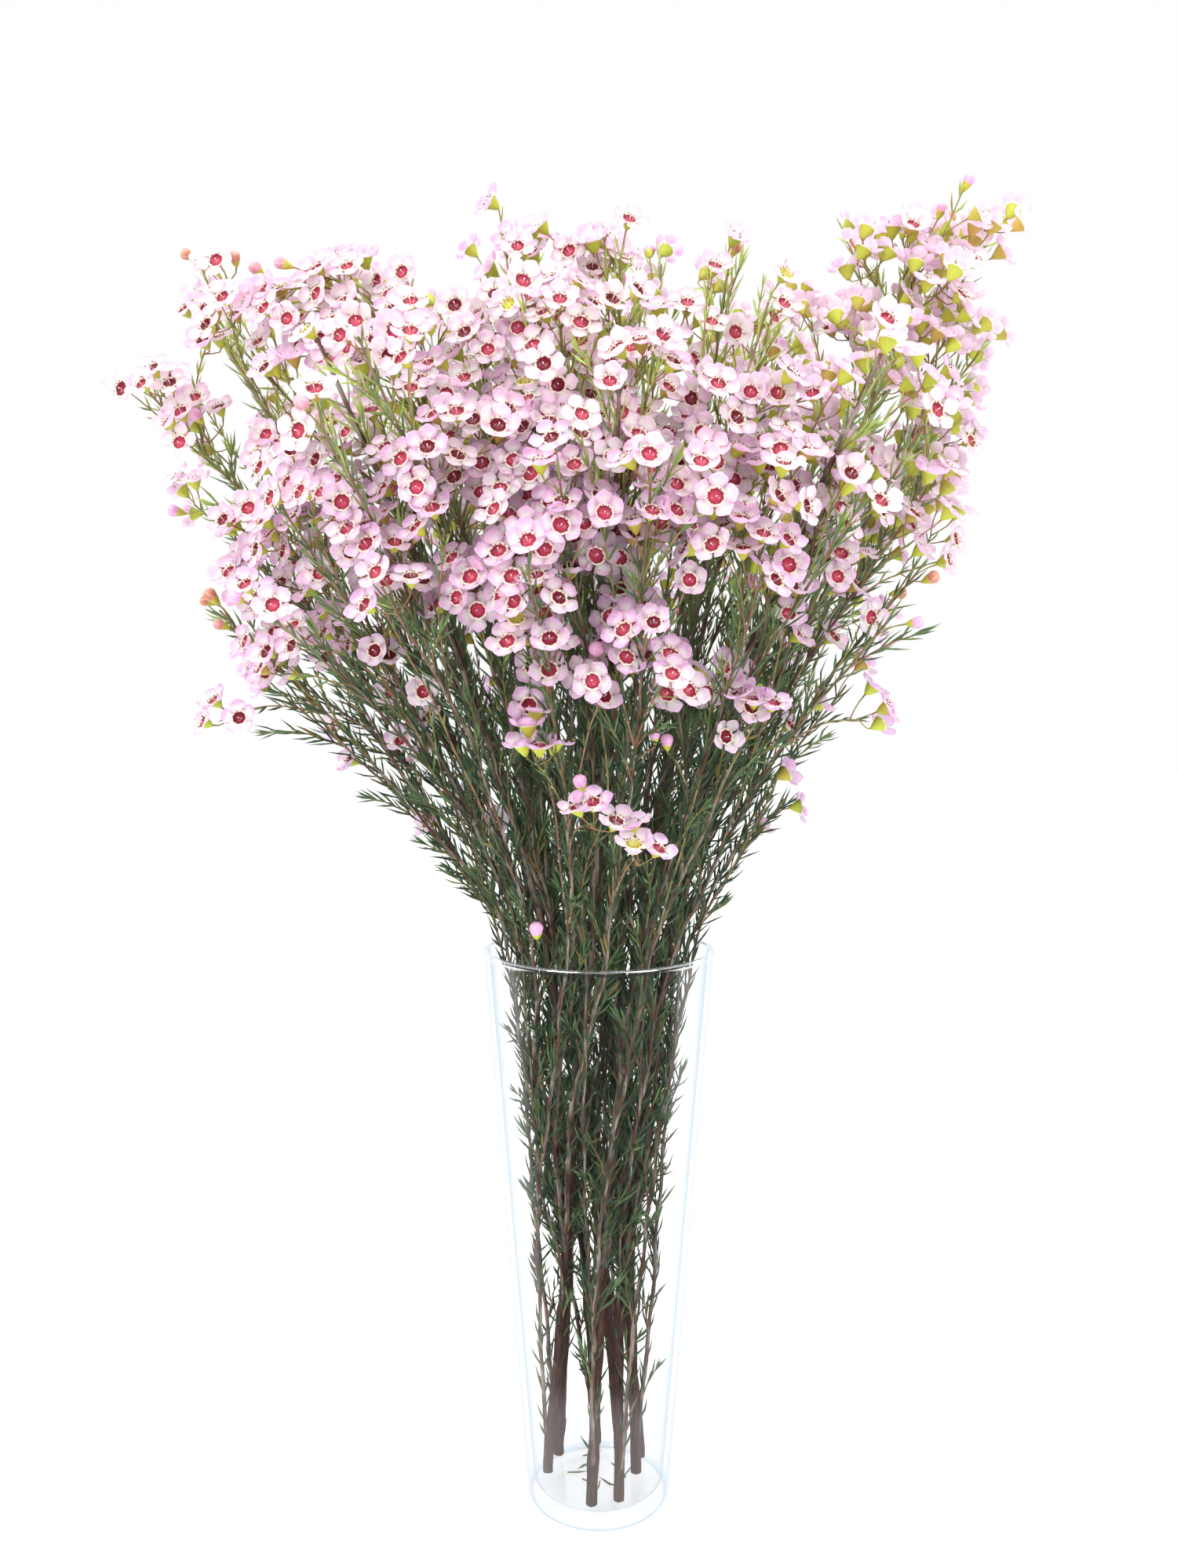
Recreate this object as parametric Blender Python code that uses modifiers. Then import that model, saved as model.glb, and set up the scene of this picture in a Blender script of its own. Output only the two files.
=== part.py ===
"""Eight cut waxflower stems standing in a tall, tapered clear glass vase. Metres, +Z up.

The origin is the centre of the vase's flat foot. The front of the arrangement faces -Y.
Each stem is one woody, leafy, flowering piece; the vase is the only made thing.
"""

import math
import random

import bmesh
import bpy
from mathutils import Matrix, Vector

# Driving sizes of the vase
VASE_HEIGHT = 0.277
RIM_RADIUS = 0.0565
FOOT_RADIUS = 0.0355
WALL = 0.0028
FLOOR_THICK = 0.0080
FOOT_ROUND = 0.0030
FLOOR_ROUND = 0.0030
GLASS_SIDES = 24

# Driving sizes of a stem
STEM_FOOT_R = 0.0027
STEM_TIP_R = 0.0011
BRANCH_ROOT_R = 0.0016
BRANCH_TIP_R = 0.0009
TWIG_R = 0.00065
TWIG_ROOT_R = 0.00045
PEDICEL_ROOT_R = 0.00028
PETALS = 5
FLOWER_R = 0.0108
CUP_DEPTH = 0.0050
NOTCH_SHARE = 0.62
PETAL_LIFT = 0.10
NECK_R = 0.0012
BUD_R = 0.0032
PEDICEL_LENGTH = (0.011, 0.016)
NEEDLE_LENGTH = 0.021
NEEDLE_R = 0.00065
NEEDLE_SHARES = [0.24, 0.42, 0.60, 0.95, 0.975]
REST_GAP = 0.0003
CLEAR = 0.0006
WALL_ROOM = 0.006

# Where each cut end stands on the glass floor, as (degrees round the axis, distance from it),
# and the direction in which the same stem opens in the crown. The stems turn as they rise,
# so that they pass each other in the narrow part of the vase without touching.
FEET = [(0, 0.019), (32, 0.0255), (62, 0.023), (92, 0.025),
        (143, 0.0255), (178, 0.0255), (262, 0.0255), (294, 0.024)]
CROWN_DEGREES = [45, 90, 135, 180, 225, 270, 315, 360]
TURN_TOP = 0.34

# The distance of a main stem from the axis at several heights, in metres
MAIN_COURSE = [(0.12, 0.0165), (0.20, 0.0230), (VASE_HEIGHT, 0.0320)]

# The flower zone in side view, as (distance from the axis, height), from its lower edge to its middle
SHELL = [(0.118, 0.380), (0.157, 0.428), (0.184, 0.485), (0.192, 0.545),
         (0.178, 0.592), (0.115, 0.614), (0.035, 0.618)]
DEPTH_SHARE = 0.80

# How far each stem reaches past that outline, sideways and up, in metres: the front ones are lower
REACH = [(0.000, 0.006), (-0.004, -0.010), (0.000, 0.004), (0.018, -0.004),
         (0.000, -0.050), (0.000, -0.085), (0.000, -0.055), (-0.004, 0.012)]

# The way that the flowers of each stem mostly face: those in front and on the left look forward
FACING = [(0.5, 0.4, 0.6), (0.1, 0.8, 0.6), (-0.4, 0.3, 0.5), (-0.5, -0.9, 0.25),
          (-0.3, -1.0, 0.1), (0.05, -1.0, 0.05), (0.25, -1.0, 0.15), (0.8, -0.1, 0.5)]

# Branches of the left and right stems, whose sprays make the outline from the front, as
# (distance, share of the sector, height) of each branch's tip
LEFT_TIPS = [(0.082, 0.10, 0.336), (0.156, -0.20, 0.400), (0.180, 0.15, 0.440),
             (0.176, -0.10, 0.476), (0.214, 0.12, 0.545), (0.194, -0.15, 0.592)]
RIGHT_TIPS = [(0.090, -0.10, 0.350), (0.122, 0.20, 0.405), (0.154, -0.15, 0.462),
              (0.168, 0.20, 0.508), (0.178, -0.18, 0.560), (0.186, 0.10, 0.616)]
LEFT_STEM = 3
RIGHT_STEM = 7
BRANCHES = 6
TWIGS = 2
TRIES = 14

# Where the side blooms leave a twig or a branch, as shares of its length, and how far they lean
TWIG_SPREAD = (0.70, 0.92)
TWIG_LEAN = (0.55, 1.00)
END_SPREAD = (0.96, 0.99)
END_LEAN = (0.10, 0.50)

# One seed for each stem, so that its chance leans and lengths stay the same from run to run
SEEDS = [1061, 1042, 1043, 1044, 1045, 1046, 1047, 1048]


def clear_scene():
    for thing in list(bpy.data.objects):
        bpy.data.objects.remove(thing)


def new_collection(name):
    made = bpy.data.collections.new(name)
    bpy.context.scene.collection.children.link(made)
    return made


def new_material(name, colour, roughness, alpha=1.0):
    made = bpy.data.materials.new(name)
    made.use_nodes = True
    shader = made.node_tree.nodes["Principled BSDF"]
    shader.inputs["Base Color"].default_value = (*colour, 1.0)
    shader.inputs["Roughness"].default_value = roughness
    shader.inputs["Metallic"].default_value = 0.0
    shader.inputs["Alpha"].default_value = alpha
    return made


clear_scene()
ARRANGEMENT = new_collection("waxflower_in_vase")
GLASS = new_material("clear_glass", (0.92, 0.96, 0.97), 0.03, 0.3)
BARK = new_material("stem_bark", (0.16, 0.10, 0.07), 0.75)
LEAF = new_material("needle_leaf", (0.10, 0.19, 0.06), 0.5)
PETAL = new_material("pink_petal", (0.86, 0.62, 0.78), 0.55)
FINISHES = [BARK, LEAF, PETAL]


# Curves and blends between numbers

def smooth(share):
    share = min(max(share, 0.0), 1.0)
    return share * share * (3 - 2 * share)


def mix(a, b, share):
    return a + (b - a) * share


def through(knots, steps):
    """Points of a smooth curve through the knots, with this many steps between each two."""
    ends = [knots[0] * 2 - knots[1]] + knots + [knots[-1] * 2 - knots[-2]]
    points = []
    for before, start, end, after in zip(ends, ends[1:], ends[2:], ends[3:]):
        for step in range(steps):
            t = step / steps
            points.append(0.5 * (2 * start + (end - before) * t
                                 + (2 * before - 5 * start + 4 * end - after) * t ** 2
                                 + (3 * start - before - 3 * end + after) * t ** 3))
    return points + [knots[-1].copy()]


def point_at(path, share):
    """The point and the direction at a share of a path's length."""
    lengths = [(b - a).length for a, b in zip(path, path[1:])]
    left = share * sum(lengths)
    for a, b, length in zip(path, path[1:], lengths):
        if left <= length or b is path[-1]:
            return a.lerp(b, min(left / length, 1.0)), (b - a).normalized()
        left -= length


# The room of each stem: a sector round the axis that turns as it rises

def stem_angle(k, height):
    """Direction of stem k's own middle line at a height, in radians. k may run past the ends."""
    turns, k = divmod(k, len(FEET))
    foot, crown = FEET[k][0], CROWN_DEGREES[k]
    return math.radians(mix(foot, crown, smooth(height / TURN_TOP)) + 360 * turns)


def sector(k, height):
    here = stem_angle(k, height)
    return (stem_angle(k - 1, height) + here) / 2, (here + stem_angle(k + 1, height)) / 2


def in_sector(k, distance, across, height):
    """The point at a distance from the axis, and across the sector from -1 to 1."""
    low, high = sector(k, height)
    here = stem_angle(k, height)
    angle = mix(here, high, across) if across > 0 else mix(here, low, -across)
    return Vector((distance * math.cos(angle), distance * math.sin(angle), height))


def inner_radius(height):
    rise = (height - FLOOR_THICK) / (VASE_HEIGHT - FLOOR_THICK)
    return mix(FOOT_RADIUS, RIM_RADIUS, rise) - WALL


def has_room(k, point, margin):
    """True where the point is inside stem k's sector and inside the glass, with this margin."""
    low, high = sector(k, point.z)
    distance = math.hypot(point.x, point.y)
    angle = math.atan2(point.y, point.x)
    middle = (low + high) / 2
    off = (angle - middle + math.pi) % (2 * math.pi) - math.pi
    half = (high - low) / 2
    if abs(off) > half or distance * math.sin(half - abs(off)) < margin:
        return False
    if point.z > VASE_HEIGHT + margin:
        return True
    return FLOOR_THICK + margin < point.z and distance < inner_radius(min(point.z, VASE_HEIGHT)) - margin


# The flower zone

def shell_at(share):
    """Distance, height and outward direction (sideways, up) on the outline of the flower zone."""
    spans = [math.dist(a, b) for a, b in zip(SHELL, SHELL[1:])]
    left = min(max(share, 0.0), 1.0) * sum(spans)
    for a, b, span in zip(SHELL, SHELL[1:], spans):
        if left <= span or b is SHELL[-1]:
            t = min(left / span, 1.0)
            return mix(a[0], b[0], t), mix(a[1], b[1], t), (b[1] - a[1]) / span, (a[0] - b[0]) / span
        left -= span


def depth_of(angle):
    """Share of the outline's width in a direction: the crown is a little flatter from front to back."""
    return 1 / math.hypot(math.cos(angle), math.sin(angle) / DEPTH_SHARE)


def crown_target(k, share, across, inward):
    """(distance, across, height) of a point on or a little inside the flower zone's outline."""
    distance, height, sideways, up = shell_at(share)
    wider, taller = REACH[k]
    distance = (distance + wider * sideways - inward * sideways) * depth_of(stem_angle(k, height))
    height += taller * smooth(distance / 0.16) * smooth(2 * share) - inward * up
    return Vector((max(distance, 0.02), across, height))


def outward(k, point):
    """The way that a flower of stem k mostly faces here: its stem's way, outwards, and up near the top."""
    sideways = Vector((point.x, point.y, 0)).normalized()
    rise = max((point.z - 0.50) / 0.12, 0.0)
    return (Vector(FACING[k]) + sideways * 0.6 + Vector((0, 0, 0.55 * rise))).normalized()


# The skeleton of one stem

def main_stem(k):
    angle, distance = FEET[k]
    turn = random.Random(SEEDS[k] - 1000)
    foot = Vector((distance, 0, FLOOR_THICK + REST_GAP))
    knots = [foot, Vector((distance, 0, foot.z + 0.006))]
    for height, course in MAIN_COURSE:
        knots.append(Vector((course * turn.uniform(0.9, 1.1), turn.uniform(-0.1, 0.1), height)))
    end = crown_target(k, turn.uniform(0.60, 0.70), turn.uniform(-0.15, 0.15), 0.004)
    middle = knots[-1].lerp(end, 0.5)
    middle.x = mix(knots[-1].x, end.x, 0.42)
    knots += [middle, end]
    path = [in_sector(k, *knot) for knot in knots]
    return [path[0]] + through(path[1:], 1)


def branch_tips(k, turn):
    if k == LEFT_STEM:
        return [Vector(tip) for tip in LEFT_TIPS]
    if k == RIGHT_STEM:
        return [Vector(tip) for tip in RIGHT_TIPS]
    tips = []
    for j in range(BRANCHES):
        share = (j + 0.45) / BRANCHES + turn.uniform(-0.04, 0.04)
        side = 1 if j % 2 else -1
        tips.append(crown_target(k, share, side * turn.uniform(0.30, 0.52), turn.uniform(0.0, 0.012)))
    return tips


def branch(k, main, j, tip, turn):
    """A branch that leaves the main stem low, runs up beside it and opens out to its tip."""
    leave = 0.05 + 0.042 * j + turn.uniform(0.0, 0.02)
    low = min(main, key=lambda p: abs(p.z - leave))
    root = low.copy()
    knots = [root]
    out = math.hypot(root.x, root.y)
    side = 0.45 if tip.y > 0 else -0.45
    if root.z < VASE_HEIGHT - 0.06:
        mouth = mix(inner_radius(VASE_HEIGHT) - WALL_ROOM, 0.016, smooth(j / (BRANCHES - 0.5)))
        half_way = mix(root.z, VASE_HEIGHT, 0.5)
        beside = mix(out, min(mouth, inner_radius(half_way) - WALL_ROOM), 0.65)
        knots.append(in_sector(k, beside, side * 0.8, half_way))
        knots.append(in_sector(k, mouth, side, VASE_HEIGHT))
    elif root.z < VASE_HEIGHT + 0.05:
        knots.append(in_sector(k, mix(out, tip.x, 0.12), side * 0.7, mix(root.z, tip.z, 0.25)))
    last = knots[-1]
    last_out = math.hypot(last.x, last.y)
    bend = turn.uniform(0.44, 0.54)
    knots.append(in_sector(k, mix(last_out, tip.x, bend), mix(side, tip.y, 0.5), mix(last.z, tip.z, 0.58)))
    knots.append(in_sector(k, *tip))
    return through(knots, 1)


def twig_courses(k, leader, tip, turn, count):
    """Side twigs of a branch, each as a path of three points that ends in the flower zone."""
    twigs = []
    for n in range(count):
        share = mix(0.60, 0.86, n / max(count - 1, 1)) + turn.uniform(-0.03, 0.03)
        while point_at(leader, share)[0].z < VASE_HEIGHT + 2 * WALL_ROOM:
            share += 0.04
        start, way = point_at(leader, share)
        side = 1 if n % 2 else -1
        across = min(max(tip.y + side * turn.uniform(0.32, 0.50), -0.82), 0.82)
        lift = turn.uniform(-0.018, 0.022)
        end = in_sector(k, max(tip.x + turn.uniform(-0.035, 0.004), 0.022), across, tip.z + lift)
        middle = start.lerp(end, 0.5) + way * 0.10 * (end - start).length
        twigs.append([start, middle, end])
    return twigs


# Solids

def mesh_object(name, bm, place):
    mesh = bpy.data.meshes.new(name)
    bmesh.ops.recalc_face_normals(bm, faces=bm.faces)
    if bm.calc_volume(signed=True) < 0:
        bmesh.ops.reverse_faces(bm, faces=bm.faces)
    bm.to_mesh(mesh)
    bm.free()
    for finish in FINISHES:
        mesh.materials.append(finish)
    made = bpy.data.objects.new(name, mesh)
    place.objects.link(made)
    return made


def section_curve(sides):
    """A closed outline of one millimetre radius, the cross-section of a woody piece."""
    data = bpy.data.curves.new(f"section_{sides}", "CURVE")
    data.dimensions = "2D"
    spline = data.splines.new("POLY")
    spline.points.add(sides - 1)
    for n, point in enumerate(spline.points):
        angle = 2 * math.pi * n / sides
        point.co = (0.001 * math.cos(angle), 0.001 * math.sin(angle), 0, 1)
    spline.use_cyclic_u = True
    made = bpy.data.objects.new(f"section_{sides}", data)
    made.hide_render = True
    GUIDES.objects.link(made)
    return made


def wood(name, path, root_r, tip_r, section, place):
    """A woody piece along a path, thinner towards its tip, as a closed mesh."""
    data = bpy.data.curves.new(name, "CURVE")
    data.dimensions = "3D"
    data.bevel_mode = "OBJECT"
    data.bevel_object = section
    data.use_fill_caps = True
    spline = data.splines.new("POLY")
    spline.points.add(len(path) - 1)
    for n, (point, place_at) in enumerate(zip(spline.points, path)):
        point.co = (*place_at, 1)
        point.radius = 1000 * mix(root_r, tip_r, n / (len(path) - 1))
    curve = bpy.data.objects.new(name + "_line", data)
    place.objects.link(curve)
    bpy.context.view_layer.update()
    graph = bpy.context.evaluated_depsgraph_get()
    mesh = bpy.data.meshes.new_from_object(curve.evaluated_get(graph))
    bm = bmesh.new()
    bm.from_mesh(mesh)
    bmesh.ops.remove_doubles(bm, verts=bm.verts, dist=1e-5)
    bpy.data.objects.remove(curve)
    bpy.data.meshes.remove(mesh)
    for face in bm.faces:
        face.material_index = 0
    return mesh_object(name, bm, place)


def rim_points(centre, facing, size, petals, notch_share, lift, stalk_way=None):
    """The edge of a flower: a raised tip for each petal, with a notch after each if it is open."""
    first = facing.cross(stalk_way) if stalk_way else facing.orthogonal()
    if first.length < 0.05:
        first = facing.orthogonal()
    first.normalize()
    second = facing.cross(first)
    count = petals * 2 if notch_share else petals
    points = []
    for n in range(count):
        angle = 2 * math.pi * n / count
        tip = n % 2 == 0 or not notch_share
        reach = size if tip else size * notch_share
        points.append(centre + (first * math.cos(angle) + second * math.sin(angle)) * reach
                      + facing * (lift if tip else 0.0))
    return points


def flower(name, stalk, widths, centre, facing, size, place, is_bud=False):
    """A loft from a thin three-sided stalk to the cup, and from the cup to the edge of the petals."""
    depth = size * 1.2 if is_bud else CUP_DEPTH
    path = stalk + [centre - facing * depth]
    widths = widths + [NECK_R * 0.6 if is_bud else NECK_R]
    first = facing.cross(path[-1] - path[0])
    first = (first if first.length > 1e-6 else facing.orthogonal()).normalized()
    bm = bmesh.new()
    rings = []
    for n, (spot, width) in enumerate(zip(path, widths)):
        ahead = facing if n == len(stalk) else (path[n + 1] - spot).normalized()
        across = (first - ahead * first.dot(ahead)).normalized()
        other = ahead.cross(across)
        rings.append([bm.verts.new(spot + (across * math.cos(a) + other * math.sin(a)) * width)
                      for a in (0, 2 * math.pi / 3, 4 * math.pi / 3)])
    bm.faces.new(rings[0])
    for low, high in zip(rings, rings[1:]):
        for n in range(3):
            bm.faces.new((low[n], low[(n + 1) % 3], high[(n + 1) % 3], high[n]))
    notch_share = 0.0 if is_bud else NOTCH_SHARE
    lift = 0.0 if is_bud else PETAL_LIFT * size
    edge = rim_points(centre, facing, size, PETALS, notch_share, lift, path[-1] - path[0])
    rim = [bm.verts.new(point) for point in edge]
    count = len(rim)
    nearest = [rings[-1][round(3 * n / count) % 3] for n in range(count)]
    for n in range(count):
        after = (n + 1) % count
        bm.faces.new((nearest[n], rim[after], rim[n])).material_index = 2
        if nearest[n] is not nearest[after]:
            bm.faces.new((nearest[n], nearest[after], rim[after])).material_index = 1
    if is_bud:
        top = bm.verts.new(centre + facing * size)
        for n in range(count):
            bm.faces.new((rim[n], rim[(n + 1) % count], top)).material_index = 2
    else:
        for n in range(0, count, 2):
            bm.faces.new((rim[n - 1], rim[n], rim[n + 1])).material_index = 2
        bm.faces.new([rim[n] for n in range(1, count, 2)]).material_index = 2
    return mesh_object(name, bm, place)


def needle(name, root, way, length, place):
    """A three-sided needle leaf, its root inside the wood that it grows from."""
    bm = bmesh.new()
    bmesh.ops.create_cone(bm, cap_ends=True, segments=3, radius1=NEEDLE_R, radius2=0.0, depth=length)
    turn = way.to_track_quat("Z", "Y").to_matrix().to_4x4()
    bm.transform(Matrix.Translation(root + way * length / 2) @ turn)
    for face in bm.faces:
        face.material_index = 1
    return mesh_object(name, bm, place)


# Flowers and needles on the skeleton

def sideways_of(way, angle, lean):
    """A direction that leans away from another by an angle, turned round it."""
    first = way.orthogonal().normalized()
    second = way.cross(first)
    across = first * math.cos(angle) + second * math.sin(angle)
    return (way * math.cos(lean) + across * math.sin(lean)).normalized()


def flower_fits(k, centre, facing, size, others):
    rim = rim_points(centre, facing, size, 2 * PETALS, 0.0, 0.0)
    if not all(has_room(k, p, CLEAR) for p in rim + [centre - facing * CUP_DEPTH]):
        return False
    return all((centre - other).length > 1.55 * size for other in others)


def end_flower(k, twig, turn, centres, place, kind):
    """A bloom or bud that ends the twig, with the twig itself as its stalk."""
    tip, way = point_at(twig, 1.0)
    for _ in range(TRIES):
        chance = Vector([turn.uniform(-0.45, 0.45) for _ in range(3)])
        facing = (outward(k, tip) + way * 0.25 + chance).normalized()
        size = BUD_R if kind == "bud" else FLOWER_R * turn.uniform(0.92, 1.05)
        centre = tip + facing * CUP_DEPTH
        if flower_fits(k, centre, facing, size, centres):
            flower(kind, twig[:-1], [TWIG_ROOT_R, TWIG_R], centre, facing, size, place, kind == "bud")
            centres.append(centre)
            return
    wood("twig_end", twig, TWIG_R, TWIG_R, SECTION_3, place)


def side_flower(k, path, turn, centres, place, spread, leaning):
    """A bloom on its own short stalk, from within a spread of the path's length."""
    tip = path[-1]
    for _ in range(TRIES):
        root, along = point_at(path, turn.uniform(*spread))
        lean = sideways_of(along, turn.uniform(0, 2 * math.pi), turn.uniform(*leaning))
        chance = Vector([turn.uniform(-0.4, 0.4) for _ in range(3)])
        facing = (outward(k, tip) * 1.1 + lean * 0.5 + chance).normalized()
        size = FLOWER_R * turn.uniform(0.88, 1.05)
        centre = root + lean * turn.uniform(*PEDICEL_LENGTH) + facing * CUP_DEPTH
        if flower_fits(k, centre, facing, size, centres):
            flower("bloom", [root], [PEDICEL_ROOT_R], centre, facing, size, place)
            centres.append(centre)
            return


def grow_needles(k, path, shares, turn, centres, place):
    for share in shares:
        root, way = point_at(path, share)
        for _ in range(TRIES):
            lean = sideways_of(way, turn.uniform(0, 2 * math.pi), turn.uniform(0.40, 0.75))
            length = NEEDLE_LENGTH * turn.uniform(0.8, 1.1)
            along = [root + lean * length * part / 6 for part in range(2, 7)]
            clear = all((p - centre).length > FLOWER_R for p in along for centre in centres)
            if clear and all(has_room(k, p, CLEAR + 0.0006) for p in along):
                needle("needle", root, lean, length, place)
                break


def shell_of(start):
    """All the faces that hang together with this one."""
    found, waiting = {start}, [start]
    while waiting:
        for edge in waiting.pop().edges:
            for face in edge.link_faces:
                if face not in found:
                    found.add(face)
                    waiting.append(face)
    return found


def shell_volume(faces):
    total = 0.0
    for face in faces:
        corners = [v.co for v in face.verts]
        for b, c in zip(corners[1:], corners[2:]):
            total += corners[0].dot(b.cross(c)) / 6
    return total


def keep_outer_shell(mesh):
    """Fills any hollow that the joining sealed, and drops any loose scrap."""
    bm = bmesh.new()
    bm.from_mesh(mesh)
    left = set(bm.faces)
    shells = []
    while left:
        shell = shell_of(next(iter(left)))
        left -= shell
        shells.append(shell)
    shells.sort(key=shell_volume)
    spare = [face for shell in shells[:-1] for face in shell]
    bmesh.ops.delete(bm, geom=spare, context="FACES")
    bm.to_mesh(mesh)
    bm.free()


def union_of(name, core, place):
    """Joins the core with everything in the collection, and removes that collection's objects."""
    join = core.modifiers.new("join", "BOOLEAN")
    join.operation = "UNION"
    join.operand_type = "COLLECTION"
    join.collection = place
    join.solver = "MANIFOLD"
    bpy.context.view_layer.update()
    graph = bpy.context.evaluated_depsgraph_get()
    whole = bpy.data.meshes.new_from_object(core.evaluated_get(graph))
    core.modifiers.clear()
    core.data = whole
    whole.name = name
    keep_outer_shell(whole)
    for piece in list(place.objects):
        bpy.data.objects.remove(piece)
    bpy.data.collections.remove(place)


def leafy_stem(k):
    name = f"waxflower_stem_{k + 1}"
    pieces = new_collection(name + "_pieces")
    turn = random.Random(SEEDS[k])
    main = main_stem(k)
    core = wood(name, main, STEM_FOOT_R, STEM_TIP_R, SECTION_5, ARRANGEMENT)
    leaders = [(main, Vector((math.hypot(main[-1].x, main[-1].y), 0.0, main[-1].z)))]
    for j, tip in enumerate(branch_tips(k, turn)):
        path = branch(k, main, j, tip, turn)
        wood("branch", path, BRANCH_ROOT_R, BRANCH_TIP_R, SECTION_3, pieces)
        leaders.append((path, tip))
    centres = []
    for path, tip in leaders:
        side_flower(k, path, turn, centres, pieces, END_SPREAD, END_LEAN)
        for n, twig in enumerate(twig_courses(k, path, tip, turn, TWIGS)):
            kind = "bud" if n == 1 and path is leaders[-1][0] else "bloom"
            end_flower(k, twig, turn, centres, pieces, kind)
            side_flower(k, twig, turn, centres, pieces, TWIG_SPREAD, TWIG_LEAN)
        grow_needles(k, path, NEEDLE_SHARES, turn, centres, pieces)
    union_of(name, core, pieces)


# The vase: pressed clear glass, with a thick floor and a rounded rim

def arc(centre, radius, start, end, steps):
    """Points of an arc in the profile's plane, in degrees from the outward direction."""
    turns = [math.radians(mix(start, end, n / steps)) for n in range(steps + 1)]
    return [(centre[0] + radius * math.cos(turn), centre[1] + radius * math.sin(turn)) for turn in turns]


def vase():
    half = WALL / 2
    rim = arc((RIM_RADIUS - half, VASE_HEIGHT - half), half, 0, 180, 3)
    inside = arc((inner_radius(FLOOR_THICK) - FLOOR_ROUND, FLOOR_THICK + FLOOR_ROUND), FLOOR_ROUND, 0, -90, 2)
    outside = arc((FOOT_RADIUS - FOOT_ROUND, FOOT_ROUND), FOOT_ROUND, -90, 0, 2)
    profile = [(0.0, FLOOR_THICK)] + inside[::-1] + rim[::-1] + outside[::-1] + [(0.0, 0.0)]
    bm = bmesh.new()
    verts = [bm.verts.new((x, 0, z)) for x, z in profile]
    for a, b in zip(verts, verts[1:]):
        bm.edges.new((a, b))
    mesh = bpy.data.meshes.new("vase")
    bm.to_mesh(mesh)
    bm.free()
    mesh.materials.append(GLASS)
    made = bpy.data.objects.new("vase", mesh)
    ARRANGEMENT.objects.link(made)
    turned = made.modifiers.new("turned", "SCREW")
    turned.steps = turned.render_steps = GLASS_SIDES
    turned.use_merge_vertices = True
    turned.merge_threshold = 0.00005
    turned.use_smooth_shade = True
    return made


GUIDES = new_collection("guides")
GUIDES.hide_render = True
SECTION_3 = section_curve(3)
SECTION_5 = section_curve(5)
vase()
for stem_number in range(len(FEET)):
    leafy_stem(stem_number)
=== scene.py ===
"""Eight cut waxflower stems standing in a tall, tapered clear glass vase. Metres, +Z up.

The front of the arrangement faces -Y. Nothing on it moves, so every piece rides on the one body, root.
"""

import math
import random

import bpy
import numpy as np
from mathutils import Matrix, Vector


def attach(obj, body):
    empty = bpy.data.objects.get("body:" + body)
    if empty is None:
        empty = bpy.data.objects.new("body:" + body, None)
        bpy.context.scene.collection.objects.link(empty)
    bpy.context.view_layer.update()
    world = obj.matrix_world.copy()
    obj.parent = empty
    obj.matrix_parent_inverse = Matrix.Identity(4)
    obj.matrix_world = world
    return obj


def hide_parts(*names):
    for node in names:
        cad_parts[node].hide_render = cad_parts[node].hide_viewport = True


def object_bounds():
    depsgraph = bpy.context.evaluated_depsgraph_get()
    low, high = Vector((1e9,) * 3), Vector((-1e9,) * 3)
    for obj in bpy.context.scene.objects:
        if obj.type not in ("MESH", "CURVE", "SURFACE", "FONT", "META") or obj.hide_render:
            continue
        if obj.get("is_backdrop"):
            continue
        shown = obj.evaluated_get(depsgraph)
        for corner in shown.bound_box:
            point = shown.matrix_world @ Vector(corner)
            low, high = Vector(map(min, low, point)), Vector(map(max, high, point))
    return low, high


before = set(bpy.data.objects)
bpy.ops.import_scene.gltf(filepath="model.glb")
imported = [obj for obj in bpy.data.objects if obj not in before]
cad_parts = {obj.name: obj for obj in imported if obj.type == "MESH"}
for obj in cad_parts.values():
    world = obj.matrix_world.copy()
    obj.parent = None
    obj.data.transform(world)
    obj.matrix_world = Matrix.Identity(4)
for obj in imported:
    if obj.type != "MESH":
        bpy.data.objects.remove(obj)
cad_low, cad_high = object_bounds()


# The vase is one piece of clear pressed glass: a tall straight taper with a thick floor, a softly rounded rim
# and a slightly hollow underside. It stands on its flat foot and holds the stems by its rim alone.

VASE_HEIGHT = 0.277
RIM_RADIUS = 0.0565
FOOT_RADIUS = 0.0355
WALL = 0.0028
FLOOR_THICK = 0.0080
FOOT_ROUND = 0.0030
FLOOR_ROUND = 0.0030
HOLLOW_RADIUS = 0.0270
HOLLOW_RISE = 0.0010
FLOOR_RINGS = (0.0, 0.012, 0.022)
WALL_RINGS = 10
ROUND_STEPS = 6
RIM_STEPS = 14
GLASS_STEPS = 128
LIP_CURL = 38
LIP_NECK = 0.0032
LIP_SHINE = 0.55
FOOT_SHADE = 0.30
MIRROR_FACING = 0.045
MIRROR_EDGE_ON = 0.85
WHITE = (1.0, 1.0, 1.0, 1.0)
GLASS_CLEAR = (0.996, 0.998, 1.0, 1.0)
GLASS_DEEP = (0.78, 0.845, 0.905, 1.0)


def mix(a, b, share):
    return a + (b - a) * share


def inner_radius(height):
    rise = (height - FLOOR_THICK) / (VASE_HEIGHT - FLOOR_THICK)
    return mix(FOOT_RADIUS, RIM_RADIUS, rise) - WALL


def arc(centre, radius, start, end, steps):
    """Points of an arc in a profile's plane, in degrees from the outward direction."""
    turns = [math.radians(mix(start, end, n / steps)) for n in range(steps + 1)]
    return [(centre[0] + radius * math.cos(turn), centre[1] + radius * math.sin(turn)) for turn in turns]


def rings_between(start, end, count):
    return [(mix(start[0], end[0], n / count), mix(start[1], end[1], n / count)) for n in range(1, count)]


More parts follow.
